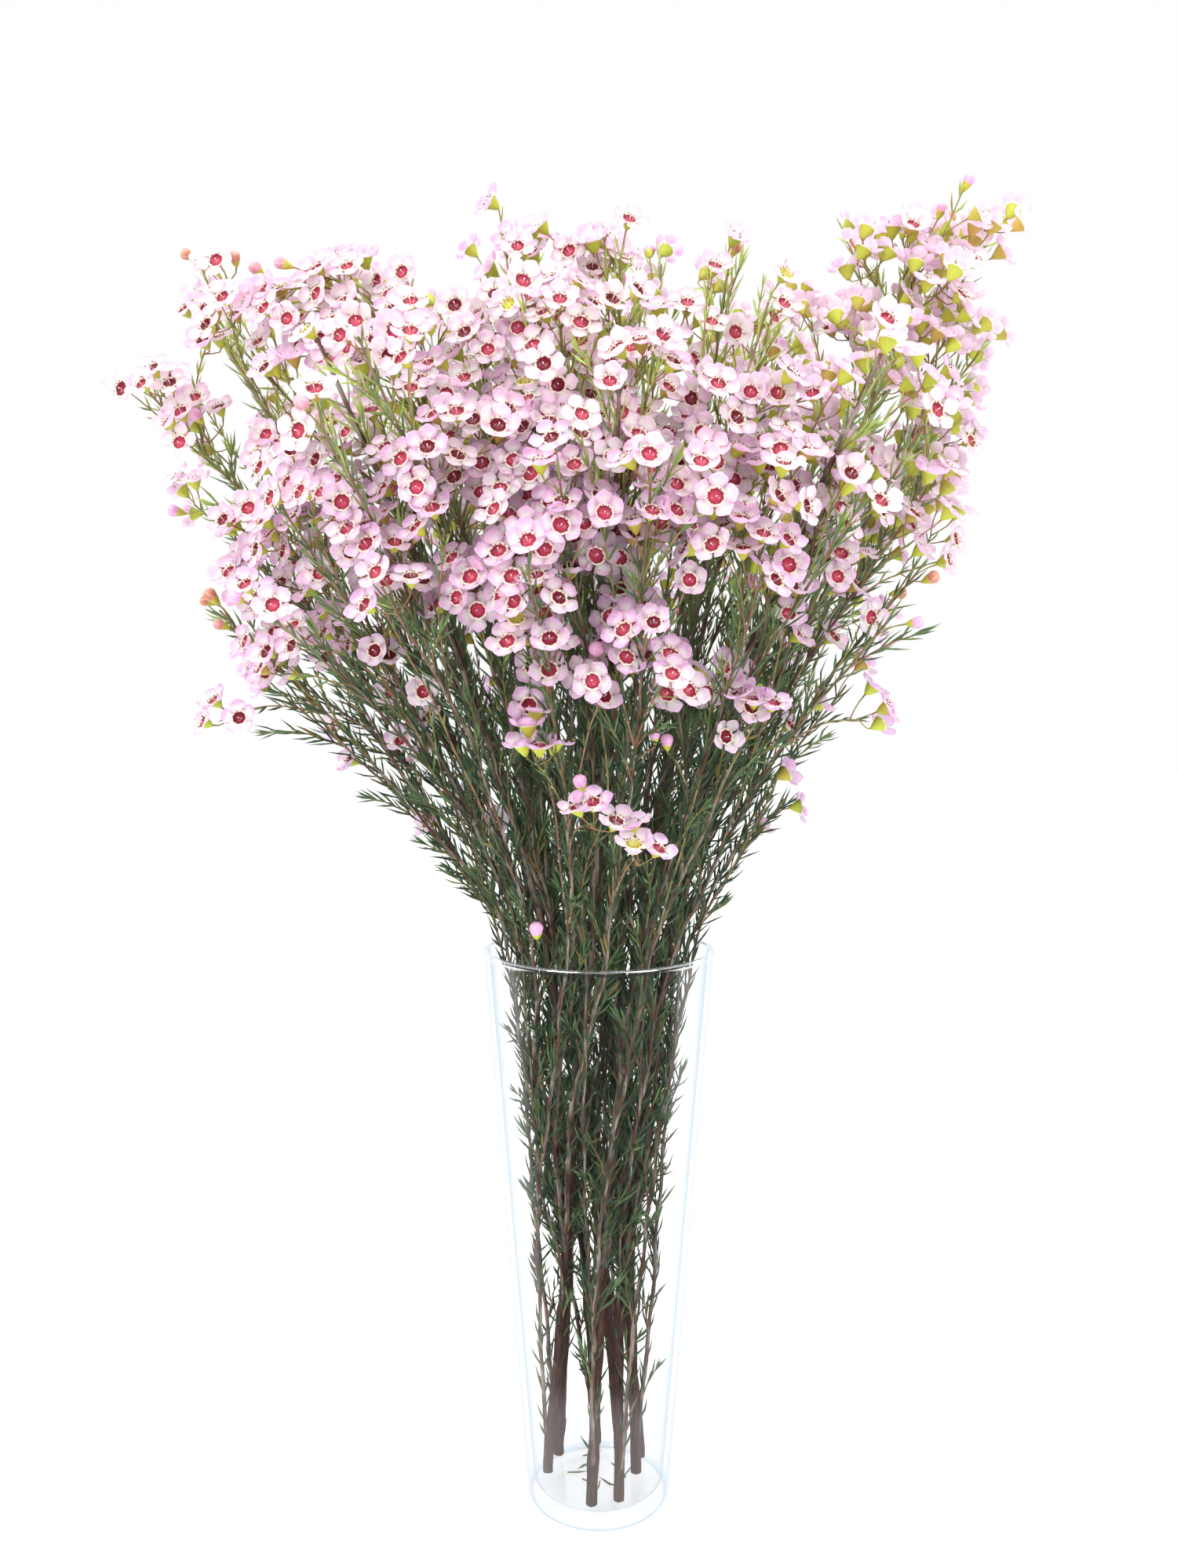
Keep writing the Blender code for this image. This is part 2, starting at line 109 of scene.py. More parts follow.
def glass_profile():
    """The outline of the glass from the middle of the floor up inside, over the rim and down outside."""
    half = WALL / 2
    corner = (inner_radius(FLOOR_THICK) - FLOOR_ROUND, FLOOR_THICK + FLOOR_ROUND)
    inside = arc(corner, FLOOR_ROUND, -90, 0, ROUND_STEPS)
    rim = arc((RIM_RADIUS - half, VASE_HEIGHT - half), half, 180, -LIP_CURL, RIM_STEPS)
    rim.append((rim[-1][0] - 0.00005, VASE_HEIGHT - LIP_NECK))
    outside = arc((FOOT_RADIUS - FOOT_ROUND, FOOT_ROUND), FOOT_ROUND, 0, -90, ROUND_STEPS)
    hollow = [(HOLLOW_RADIUS - step, HOLLOW_RISE * rise)
              for step, rise in ((0.0, 0.0), (0.002, 0.6), (0.006, 1.0))]
    return ([(ring, FLOOR_THICK) for ring in FLOOR_RINGS]
            + inside + rings_between(inside[-1], rim[0], WALL_RINGS)
            + rim + rings_between(rim[-1], outside[0], WALL_RINGS)
            + outside + hollow + [(0.0, HOLLOW_RISE)])


def glass_look(points):
    """Where the lip gathers light, on its top and under its curl, and where the edge of the foot is thick."""
    out, height = np.hypot(points[:, 0], points[:, 1]), points[:, 2]
    top = (height > VASE_HEIGHT - 0.0009) * LIP_SHINE
    under = WALL / 2 * (1 + math.sin(math.radians(LIP_CURL)))
    curl = (abs(height - VASE_HEIGHT + under) < 0.0004) & (out > RIM_RADIUS - WALL / 2)
    outside = out > FOOT_RADIUS - FOOT_ROUND * 0.8
    foot = outside & (height < FOOT_ROUND * 0.8)
    above_foot = (outside & (height < FOOT_ROUND * 1.01)) * FOOT_SHADE
    return np.column_stack([np.maximum(top, curl), np.maximum(foot, above_foot), np.zeros((len(points), 2))])


def lathe(profile, steps):
    """Points and faces of a closed form turned round +Z, from a profile that starts and ends on the axis."""
    turns = np.arange(steps) * 2 * np.pi / steps
    rings = [np.column_stack([r * np.cos(turns), r * np.sin(turns), np.full(steps, z)])
             for r, z in profile[1:-1]]
    points = np.vstack([[(0, 0, profile[0][1])], *rings, [(0, 0, profile[-1][1])]])
    last = len(points) - 1
    after = [(n + 1) % steps for n in range(steps)]
    faces = [(0, 1 + after[n], 1 + n) for n in range(steps)]
    for ring in range(len(rings) - 1):
        low, high = 1 + ring * steps, 1 + (ring + 1) * steps
        faces += [(low + n, low + after[n], high + after[n], high + n) for n in range(steps)]
    top = 1 + (len(rings) - 1) * steps
    faces += [(top + n, top + after[n], last) for n in range(steps)]
    return points, facing_out(points, faces)


def facing_out(points, faces):
    """The faces of a closed form, turned so that they all face out of it."""
    volume = sum(np.dot(points[f[0]], np.cross(points[b], points[c]))
                 for f in faces for b, c in zip(f[1:], f[2:]))
    return faces if volume > 0 else [face[::-1] for face in faces]


class Heap:
    """Closed forms gathered into one mesh, with what its material asks about each point."""

    def __init__(self):
        self.points, self.faces, self.looks, self.grains = [], [], [], []
        self.total = 0

    def add(self, points, faces, look, grain=None):
        """look is up to four numbers from 0 to 1, for the whole form or for each of its points."""
        self.points.append(points)
        self.faces += [[corner + self.total for corner in face] for face in faces]
        self.looks.append(np.broadcast_to(np.array(look, float), (len(points), 4)))
        self.grains.append(np.zeros((len(points), 3)) if grain is None else grain)
        self.total += len(points)

    def piece(self, name, finish, crease=55, slot="flowering_stem"):
        """Makes the piece. Edges that turn more than the crease, in degrees, stay sharp."""
        mesh = bpy.data.meshes.new(name)
        mesh.from_pydata(np.vstack(self.points).tolist(), [], self.faces)
        for kept, kind, field, rows in (("look", "FLOAT_COLOR", "color", self.looks),
                                        ("grain", "FLOAT_VECTOR", "vector", self.grains)):
            values = np.vstack(rows).astype(np.float32).ravel()
            mesh.attributes.new(kept, kind, "POINT").data.foreach_set(field, values)
        mesh.materials.append(finish)
        mesh.shade_smooth()
        mesh.set_sharp_from_angle(angle=math.radians(crease))
        made = bpy.data.objects.new(name, mesh)
        bpy.context.scene.collection.objects.link(made)
        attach(made, "root")
        return made


class Shade:
    """A value in a material. Sums written with it add their own nodes."""

    def __init__(self, tree, socket=None):
        self.tree, self.socket = tree, socket

    def node(self, kind, settings=None, values=None, out=0):
        """Adds a node: its settings first, then a number, a colour or a link for each socket named."""
        made = self.tree.nodes.new(kind)
        for name, value in (settings or {}).items():
            setattr(made, name, value)
        for name, value in (values or {}).items():
            if isinstance(value, Shade):
                self.tree.links.new(value.socket, made.inputs[name])
            else:
                made.inputs[name].default_value = value
        return Shade(self.tree, made.outputs[out] if len(made.outputs) else None)

    def maths(self, operation, *numbers):
        return self.node("ShaderNodeMath", {"operation": operation}, dict(enumerate(numbers)))

    def __add__(self, other):
        return self.maths("ADD", self, other)

    def __radd__(self, other):
        return self.maths("ADD", other, self)

    def __sub__(self, other):
        return self.maths("SUBTRACT", self, other)

    def __rsub__(self, other):
        return self.maths("SUBTRACT", other, self)

    def __mul__(self, other):
        return self.maths("MULTIPLY", self, other)

    def __rmul__(self, other):
        return self.maths("MULTIPLY", other, self)

    def __abs__(self):
        return self.maths("ABSOLUTE", self)

    def rising(self, low, high):
        """0 below low, 1 above high, and smooth between."""
        return self.node("ShaderNodeMapRange", {"interpolation_type": "SMOOTHSTEP"},
                         {"Value": self, "From Min": low, "From Max": high})

    def colour(self, low, high):
        """The colour low where this is 0 and high where it is 1."""
        return self.node("ShaderNodeMix", {"data_type": "RGBA"}, {0: self, 6: low, 7: high}, out=2)


def new_finish(name):
    made = bpy.data.materials.new(name)
    made.use_nodes = True
    made.node_tree.nodes.clear()
    return made, Shade(made.node_tree)


def closed(made, shade, surface):
    """Gives a material its surface."""
    shade.node("ShaderNodeOutputMaterial", {}, {"Surface": surface})
    return made


def looks(shade):
    """The first three numbers that the looks of a heap give each point."""
    look = shade.node("ShaderNodeAttribute", {"attribute_name": "look"}, out="Color")
    return [shade.node("ShaderNodeSeparateColor", {}, {"Color": look}, out=n) for n in range(3)]


def noise(shade, scale, detail, place=None, roughness=0.5):
    """A soft chance pattern through the object."""
    place = place or shade.node("ShaderNodeTexCoord", out="Object")
    return shade.node("ShaderNodeTexNoise", {}, {
        "Vector": place, "Scale": scale, "Detail": detail, "Roughness": roughness})


def bump(shade, strength, distance, height):
    return shade.node("ShaderNodeBump", {}, {"Strength": strength, "Distance": distance, "Height": height})


def mixed(shade, share, first, second):
    return shade.node("ShaderNodeMixShader", {}, {0: share, 1: first, 2: second})


def clear_glass():
    """Thin clear glass: it mirrors more, and is a little bluer, where it is seen along its surface."""
    made, shade = new_finish("clear_glass")
    lip, foot, _ = looks(shade)
    flow = noise(shade, 34.0, 2.0)
    edge_on = shade.node("ShaderNodeLayerWeight", {}, {"Blend": 0.5}, out="Facing")
    clear, deep = [shade.node("ShaderNodeBsdfTransparent", {}, {"Color": tone})
                   for tone in (GLASS_CLEAR, GLASS_DEEP)]
    thick = edge_on.rising(0.45, 1.0)
    through_it = mixed(shade, thick.maths("MAXIMUM", thick, foot), clear, deep)
    gloss = shade.node("ShaderNodeBsdfGlossy", {}, {
        "Color": WHITE, "Roughness": 0.03, "Normal": bump(shade, 0.05, 0.001, flow)})
    mirror = MIRROR_FACING + edge_on.maths("POWER", edge_on, 4.0) * MIRROR_EDGE_ON
    mirror = mirror + lip * (0.50 + flow.rising(0.40, 0.56) * 0.45)
    return closed(made, shade, mixed(shade, mirror, through_it, gloss))


glass_heap = Heap()
glass_points, glass_faces = lathe(glass_profile(), GLASS_STEPS)
glass_heap.add(glass_points, glass_faces, glass_look(glass_points))
vase = glass_heap.piece("glass_vase", clear_glass(), crease=60, slot="clear_glass")
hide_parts("vase")


# The eight stems are cut branches of a waxflower shrub: brown bark on the main stem, and thinner, greyer
# branches that run up beside it and open out above the glass. They grow here from the same rules and chances
# as the solids, stand on the glass floor, lean on the rim, and then get the finer twigs.

STEM_FOOT_R = 0.0027
STEM_TIP_R = 0.0008
BRANCH_ROOT_R = 0.00125
BRANCH_TIP_R = 0.00055
TWIG_R = 0.00052
TWIG_TIP_R = 0.00042
STALK_R = 0.00032
PETALS = 5
SOLID_FLOWER_R = 0.0108
CUP_DEPTH = 0.0050
BUD_R = 0.0032
FLOWER_GAP = 1.55
PEDICEL_LENGTH = (0.011, 0.016)
NEEDLE_LENGTH = 0.021
NEEDLE_SHARES = [0.24, 0.42, 0.60, 0.95, 0.975]
REST_GAP = 0.0003
CLEAR = 0.0006
WALL_ROOM = 0.006

# Where each cut end stands on the glass floor, as (degrees round the axis, distance from it), the way that
# the stem opens in the crown, and the distance of a main stem from the axis at several heights
FEET = [(0, 0.019), (32, 0.0255), (62, 0.023), (92, 0.025),
        (143, 0.0255), (178, 0.0255), (262, 0.0255), (294, 0.024)]
CROWN_DEGREES = [45, 90, 135, 180, 225, 270, 315, 360]
TURN_TOP = 0.34
MAIN_COURSE = [(0.12, 0.0165), (0.20, 0.0230), (VASE_HEIGHT, 0.0320)]

# The flower zone in side view, as (distance from the axis, height), how far each stem reaches past it,
# sideways and up, and the way that its flowers mostly face
SHELL = [(0.118, 0.380), (0.157, 0.428), (0.184, 0.485), (0.192, 0.545),
         (0.178, 0.592), (0.115, 0.614), (0.035, 0.618)]
DEPTH_SHARE = 0.80
REACH = [(0.000, 0.006), (-0.004, -0.010), (0.000, 0.004), (0.018, -0.004),
         (0.000, -0.050), (0.000, -0.085), (0.000, -0.055), (-0.004, 0.012)]
FACING = [(0.5, 0.4, 0.6), (0.1, 0.8, 0.6), (-0.4, 0.3, 0.5), (-0.5, -0.9, 0.25),
          (-0.3, -1.0, 0.1), (0.05, -1.0, 0.05), (0.25, -1.0, 0.15), (0.8, -0.1, 0.5)]

# Branches of the left and right stems, as (distance, share of the sector, height) of each branch's tip
LEFT_TIPS = [(0.082, 0.10, 0.336), (0.156, -0.20, 0.400), (0.180, 0.15, 0.440),
             (0.176, -0.10, 0.476), (0.214, 0.12, 0.545), (0.194, -0.15, 0.592)]
RIGHT_TIPS = [(0.090, -0.10, 0.350), (0.122, 0.20, 0.405), (0.154, -0.15, 0.462),
              (0.168, 0.20, 0.508), (0.178, -0.18, 0.560), (0.186, 0.10, 0.616)]
TOP_FROM = 0.50
TOP_DEEP = 0.12
FACE_OUT = 0.6
FACE_UP = 0.55
LEFT_STEM = 3
RIGHT_STEM = 7
BRANCHES = 6
LEAVE_FROM = 0.05
LEAVE_STEP = 0.042
TWIGS = 2
TRIES = 14
TWIG_SPREAD = (0.70, 0.92)
TWIG_LEAN = (0.55, 1.00)
END_SPREAD = (0.96, 0.99)
END_LEAN = (0.10, 0.50)
SWAY_WAVES = (0.045, 0.11)
WOOD_STEP = 0.0044
TWIG_STEP = 0.004
SEEDS = [1061, 1042, 1043, 1044, 1045, 1046, 1047, 1048]


def smooth(share):
    share = min(max(share, 0.0), 1.0)
    return share * share * (3 - 2 * share)


def through(knots, steps):
    """Points of a smooth curve through the knots, with this many steps between each two."""
    ends = [knots[0] * 2 - knots[1]] + knots + [knots[-1] * 2 - knots[-2]]
    points = []
    for before, start, end, after in zip(ends, ends[1:], ends[2:], ends[3:]):
        for step in range(steps):
            t = step / steps
            points.append(0.5 * (2 * start + (end - before) * t
                                 + (2 * before - 5 * start + 4 * end - after) * t ** 2
                                 + (3 * start - before - 3 * end + after) * t ** 3))
    return points + [knots[-1].copy()]


def point_at(path, share):
    """The point and the direction at a share of a path's length."""
    lengths = [(b - a).length for a, b in zip(path, path[1:])]
    left = share * sum(lengths)
    for a, b, length in zip(path, path[1:], lengths):
        if left <= length or b is path[-1]:
            return a.lerp(b, min(left / length, 1.0)), (b - a).normalized()
        left -= length


def stem_angle(k, height):
    """Direction of stem k's own middle line at a height, in radians. k may run past the ends."""
    turns, k = divmod(k, len(FEET))
    foot, crown = FEET[k][0], CROWN_DEGREES[k]
    return math.radians(mix(foot, crown, smooth(height / TURN_TOP)) + 360 * turns)


def sector(k, height):
    here = stem_angle(k, height)
    return (stem_angle(k - 1, height) + here) / 2, (here + stem_angle(k + 1, height)) / 2


def at_angle(distance, angle, height):
    return Vector((distance * math.cos(angle), distance * math.sin(angle), height))


def in_sector(k, distance, across, height):
    """The point at a distance from the axis, and across the sector from -1 to 1."""
    low, high = sector(k, height)
    here = stem_angle(k, height)
    angle = mix(here, high, across) if across > 0 else mix(here, low, -across)
    return at_angle(distance, angle, height)


def has_room(k, point, margin):
    """True where the point is inside stem k's sector and inside the glass, with this margin."""
    low, high = sector(k, point.z)
    distance = math.hypot(point.x, point.y)
    angle = math.atan2(point.y, point.x)
    middle = (low + high) / 2
    off = (angle - middle + math.pi) % (2 * math.pi) - math.pi
    half = (high - low) / 2
    if abs(off) > half or distance * math.sin(half - abs(off)) < margin:
        return False
    if point.z > VASE_HEIGHT + margin:
        return True
    return FLOOR_THICK + margin < point.z and distance < inner_radius(min(point.z, VASE_HEIGHT)) - margin


def shell_at(share):
    """Distance, height and outward direction (sideways, up) on the outline of the flower zone."""
    spans = [math.dist(a, b) for a, b in zip(SHELL, SHELL[1:])]
    left = min(max(share, 0.0), 1.0) * sum(spans)
    for a, b, span in zip(SHELL, SHELL[1:], spans):
        if left <= span or b is SHELL[-1]:
            t = min(left / span, 1.0)
            return mix(a[0], b[0], t), mix(a[1], b[1], t), (b[1] - a[1]) / span, (a[0] - b[0]) / span
        left -= span


def depth_of(angle):
    """Share of the outline's width in a direction: the crown is a little flatter from front to back."""
    return 1 / math.hypot(math.cos(angle), math.sin(angle) / DEPTH_SHARE)


def crown_target(k, share, across, inward):
    """(distance, across, height) of a point on or a little inside the flower zone's outline."""
    distance, height, sideways, up = shell_at(share)
    wider, taller = REACH[k]
    distance = (distance + wider * sideways - inward * sideways) * depth_of(stem_angle(k, height))
    height += taller * smooth(distance / 0.16) * smooth(2 * share) - inward * up
    return Vector((max(distance, 0.02), across, height))


def outward(k, point):
    """The way that a flower of stem k mostly faces here: its stem's way, outwards, and up near the top."""
    sideways = Vector((point.x, point.y, 0)).normalized()
    rise = max((point.z - TOP_FROM) / TOP_DEEP, 0.0)
    return (Vector(FACING[k]) + sideways * FACE_OUT + Vector((0, 0, FACE_UP * rise))).normalized()


def square_to(way, angle):
    """A direction square to another, turned round it by an angle."""
    first = way.orthogonal().normalized()
    return first * math.cos(angle) + way.cross(first) * math.sin(angle)


def sideways_of(way, angle, lean):
    """A direction that leans away from another by an angle, turned round it."""
    return (way * math.cos(lean) + square_to(way, angle) * math.sin(lean)).normalized()


def leaning(way, chance, least, most):
    """A direction that leans away from another by a chance angle, any way round it."""
    return sideways_of(way, chance.uniform(0, 2 * math.pi), chance.uniform(least, most))


def shaken(chance, size, axes=3):
    """A chance step of up to this size along each of the first axes."""
    return Vector([chance.uniform(-size, size) for _ in range(axes)] + [0] * (3 - axes))


def main_stem(k):
    """The knots of a main stem, from its cut end on the glass floor to its tip in the crown."""
    distance = FEET[k][1]
    turn = random.Random(SEEDS[k] - 1000)
    foot = Vector((distance, 0, FLOOR_THICK + REST_GAP))
    knots = [foot, Vector((distance, 0, foot.z + 0.006))]
    for height, course in MAIN_COURSE:
        knots.append(Vector((course * turn.uniform(0.9, 1.1), turn.uniform(-0.1, 0.1), height)))
    end = crown_target(k, turn.uniform(0.60, 0.70), turn.uniform(-0.15, 0.15), 0.004)
    middle = knots[-1].lerp(end, 0.5)
    middle.x = mix(knots[-1].x, end.x, 0.42)
    knots += [middle, end]
    return [in_sector(k, *knot) for knot in knots]


def branch_tips(k, turn):
    if k == LEFT_STEM:
        return [Vector(tip) for tip in LEFT_TIPS]
    if k == RIGHT_STEM:
        return [Vector(tip) for tip in RIGHT_TIPS]
    tips = []
    for j in range(BRANCHES):
        share = (j + 0.45) / BRANCHES + turn.uniform(-0.04, 0.04)
        side = 1 if j % 2 else -1
        tips.append(crown_target(k, share, side * turn.uniform(0.30, 0.52), turn.uniform(0.0, 0.012)))
    return tips


def branch(k, main, j, tip, turn):
    """A branch that leaves the main stem low, runs up beside it and opens out to its tip."""
    leave = LEAVE_FROM + LEAVE_STEP * j + turn.uniform(0.0, 0.02)
    low = min(main, key=lambda p: abs(p.z - leave))
    root = low.copy()
    knots = [root]
    out = math.hypot(root.x, root.y)
    side = 0.45 if tip.y > 0 else -0.45
    if root.z < VASE_HEIGHT - 0.06:
        mouth = mix(inner_radius(VASE_HEIGHT) - WALL_ROOM, 0.016, smooth(j / (BRANCHES - 0.5)))
        half_way = mix(root.z, VASE_HEIGHT, 0.5)
        beside = mix(out, min(mouth, inner_radius(half_way) - WALL_ROOM), 0.65)
        knots.append(in_sector(k, beside, side * 0.8, half_way))
        knots.append(in_sector(k, mouth, side, VASE_HEIGHT))
    elif root.z < VASE_HEIGHT + 0.05:
        knots.append(in_sector(k, mix(out, tip.x, 0.12), side * 0.7, mix(root.z, tip.z, 0.25)))
    last = knots[-1]
    last_out = math.hypot(last.x, last.y)
    bend = turn.uniform(0.44, 0.54)
    knots.append(in_sector(k, mix(last_out, tip.x, bend), mix(side, tip.y, 0.5), mix(last.z, tip.z, 0.58)))
    knots.append(in_sector(k, *tip))
    return knots


def twig_courses(k, leader, tip, turn, count):
    """Side twigs of a branch, each as a path of three points that ends in the flower zone."""
    twigs = []
    for n in range(count):
        share = mix(0.60, 0.86, n / max(count - 1, 1)) + turn.uniform(-0.03, 0.03)
        while point_at(leader, share)[0].z < VASE_HEIGHT + 2 * WALL_ROOM:
            share += 0.04
        start, way = point_at(leader, share)
        side = 1 if n % 2 else -1
        across = min(max(tip.y + side * turn.uniform(0.32, 0.50), -0.82), 0.82)
        lift = turn.uniform(-0.018, 0.022)
        end = in_sector(k, max(tip.x + turn.uniform(-0.035, 0.004), 0.022), across, tip.z + lift)
        middle = start.lerp(end, 0.5) + way * 0.10 * (end - start).length
        twigs.append([start, middle, end])
    return twigs


def flower_fits(k, centre, facing, size, others):
    edge = [centre + square_to(facing, math.pi * n / PETALS) * size for n in range(2 * PETALS)]
    if not all(has_room(k, p, CLEAR) for p in edge + [centre - facing * CUP_DEPTH]):
        return False
    return all((centre - other).length > FLOWER_GAP * size for other in others)


class Flower:
    """One bloom or bud: where its stalk leaves the wood, its middle, the way that it faces and its kind."""

    def __init__(self, root, centre, facing, kind="bloom", ends_twig=False):
        self.root, self.centre, self.facing, self.kind = root, centre, facing, kind
        self.ends_twig = ends_twig


def end_flower(k, twig, turn, centres, kind):
    """A bloom or bud that ends the twig, with the twig itself as its stalk."""
    tip, way = point_at(twig, 1.0)
    for _ in range(TRIES):
        facing = (outward(k, tip) + way * 0.25 + shaken(turn, 0.45)).normalized()
        size = BUD_R if kind == "bud" else SOLID_FLOWER_R * turn.uniform(0.92, 1.05)
        centre = tip + facing * CUP_DEPTH
        if flower_fits(k, centre, facing, size, centres):
            centres.append(centre)
            return [Flower(tip, centre, facing, kind, ends_twig=True)]
    return []


def side_flower(k, path, turn, centres, spread, leans):
    """A bloom on its own short stalk, from within a spread of the path's length."""
    for _ in range(TRIES):
        root, along = point_at(path, turn.uniform(*spread))
        lean = leaning(along, turn, *leans)
        facing = (outward(k, path[-1]) * 1.1 + lean * 0.5 + shaken(turn, 0.4)).normalized()
        size = SOLID_FLOWER_R * turn.uniform(0.88, 1.05)
        centre = root + lean * turn.uniform(*PEDICEL_LENGTH) + facing * CUP_DEPTH
        if flower_fits(k, centre, facing, size, centres):
            centres.append(centre)
            return [Flower(root, centre, facing)]
    return []


def pass_solid_needles(k, path, turn, centres):
    """Draws the chances that the solids spend on their needles here. This model has needles of its own."""
    for share in NEEDLE_SHARES:
        root, way = point_at(path, share)
        for _ in range(TRIES):
            lean = leaning(way, turn, 0.40, 0.75)
            length = NEEDLE_LENGTH * turn.uniform(0.8, 1.1)
            along = [root + lean * length * part / 6 for part in range(2, 7)]
            clear = all((p - centre).length > SOLID_FLOWER_R for p in along for centre in centres)
            if clear and all(has_room(k, p, CLEAR + 0.0006) for p in along):
                break


def steps_of(path):
    return np.linalg.norm(np.diff(path, axis=0), axis=1)


def lengths_along(path):
    """How far along a path each of its points is."""
    return np.concatenate([[0], np.cumsum(steps_of(path))])


def between(values, lengths, wanted):
    """Rows of values known at some lengths, at the lengths that are wanted."""
    return np.column_stack([np.interp(wanted, lengths, column) for column in values.T])


def evenly(path, gap):
    """A path as evenly spaced points."""
    path = np.array([tuple(point) for point in path])
    lengths = lengths_along(path)
    return between(path, lengths, np.linspace(0, lengths[-1], max(round(lengths[-1] / gap), 2) + 1))


def swaying(path, sway, draw):
    """A path with the small bends of real wood, none of them at its ends."""
    share = np.linspace(0, 1, len(path))
    length = steps_of(path).sum()
    for axis in range(2):
        for wave in SWAY_WAVES:
            shift = np.sin(2 * np.pi * (share * length / wave + draw.random()))
            path[:, axis] += shift * sway * 0.5 * np.sin(np.pi * share) ** 0.7
    return path


def nearest_on(path, point):
    """The point of an evenly spaced path that is nearest to a point."""
    return path[np.argmin(np.linalg.norm(path - np.array(tuple(point)), axis=1))]


class Wood:
    """One woody path of a stem: what it is, and how thick it is at its root and tip."""

    def __init__(self, kind, path, root_r, tip_r):
        self.kind, self.path, self.root_r, self.tip_r = kind, path, root_r, tip_r


class Stem:
    """All that one stem carries."""

    def __init__(self, k):
        self.k, self.wood, self.flowers = k, [], []


def chances(seed):
    """Two sources of chance, one for single numbers and one for rows of them."""
    return random.Random(seed), np.random.default_rng(seed)


def grow(k):
    """One stem: its main stem, branches and twigs, and the flowers that the solids have too."""
    stem = Stem(k)
    turn, draw = chances(SEEDS[k])
    main = main_stem(k)
    line = [main[0]] + through(main[1:], 8)
    course = swaying(evenly(line, WOOD_STEP), 0.0010, draw)
    course = np.vstack([course[:1], course[:1] + (0, 0, 0.0004), course[1:]])
    stem.wood.append(Wood("main", course, STEM_FOOT_R, STEM_TIP_R))
    leaders = [(main, Vector((math.hypot(main[-1].x, main[-1].y), 0.0, main[-1].z)), stem.wood[0])]
    for j, tip in enumerate(branch_tips(k, turn)):
        knots = branch(k, main, j, tip, turn)
        smoothed = swaying(evenly(through(knots, 8), WOOD_STEP), 0.0011, draw)
        root = nearest_on(stem.wood[0].path, smoothed[0])
        smoothed[:6] += (root - smoothed[0]) * np.linspace(1, 0, 6)[:, None]
        stem.wood.append(Wood("branch", smoothed, BRANCH_ROOT_R, BRANCH_TIP_R))
        leaders.append((knots, tip, stem.wood[-1]))
    centres = []
    for knots, tip, wood in leaders:
        found = side_flower(k, knots, turn, centres, END_SPREAD, END_LEAN)
        for flower in found:
            flower.root = nearest_on(wood.path, flower.root)
        for n, twig in enumerate(twig_courses(k, knots, tip, turn, TWIGS)):
            kind = "bud" if n == 1 and knots is leaders[-1][0] else "bloom"
            found += end_flower(k, twig, turn, centres, kind)
            more = side_flower(k, twig, turn, centres, TWIG_SPREAD, TWIG_LEAN)
            start = Vector(nearest_on(wood.path, twig[0]))
            line = swaying(evenly(through([start, *twig[1:]], 6), TWIG_STEP), 0.0008, draw)
            stem.wood.append(Wood("twig", line, TWIG_R, TWIG_TIP_R))
            for flower in more:
                flower.root = nearest_on(line, flower.root)
            found += more
        stem.flowers += found
        pass_solid_needles(k, knots, turn, centres)
    return stem


stems = [grow(k) for k in range(len(FEET))]


# Finer wood: long thin shoots, also up the middle of the vase and along its wall, then shorter sprigs and
# leafy twigs. Shoots and sprigs end in loose heads of flowers, whose stalks splay from one place. They fill
# the crown in front in the masses that the photograph shows, and the back of it evenly.

SPRIGS = 46
SPRIG_CHOICES = 18
SPRIG_LENGTH = (0.026, 0.062)
SPRIG_NEAR = (0.011, 0.040)
SPRIG_SPAN = 0.036
SPRIG_STEP = 0.0048
SHOOT_STEP = 0.0052
SHOOT_NEAR = (0.010, 0.042)
SHOOT_SIDE = (0.022, 0.046)
SHOOT_ROOM = 0.014
TURN_COST = 0.045
LOW_COST = 9.0
HEAD_GAP = 0.0092
FLOWER_R = 0.0083
STALK_LENGTH = (0.0085, 0.0140)
COMPANY = (0, 0, 1, 1, 2)
HEAD_SIZES = (3, 3, 4, 4, 5, 6)
BUD_CHANCE = 0.015
AWAY_FROM_EYE = (0.20, 0.75, 0.25)
HEAD_OUT = 0.58
HEAD_UP = 0.36
HEAD_ALONG = 0.65
HEAD_CHANCE = 0.42
EDGE_ROOM = 0.0090
LEAFY_GAP = 0.038
LEAFY_LENGTH = (0.014, 0.040)
LEAFY_FROM = 0.035
LEAFY_TRIES = 6
LEAFY_ROOM = (0.008, 0.007)
INNER_SHARES = (0.45, 0.30, 0.45, 0.75)
WALL_SHARES = (0.50, 0.74, 0.80)
BLOOM_SPREAD = 1.14
BLOOM_DEPTH = 0.005

# Where the photograph was taken from. A place "as seen" is where it looks to be on the middle plane, y = 0
EYE = (-0.005, -0.603, 0.398)


def metres(row):
    return [size / 1000 for size in row]


# The top outline of the flowers as seen, in millimetres: (across, height)
TOP_LINE = [metres(row) for row in [
    (-230, 562), (-202, 562), (-197, 604), (-130, 612), (-95, 606), (-86, 578), (-64, 576), (-50, 594),
    (-42, 616), (-30, 624), (6, 620), (22, 600), (44, 594), (53, 608), (62, 590), (105, 594), (118, 618),
    (140, 628), (200, 632)]]

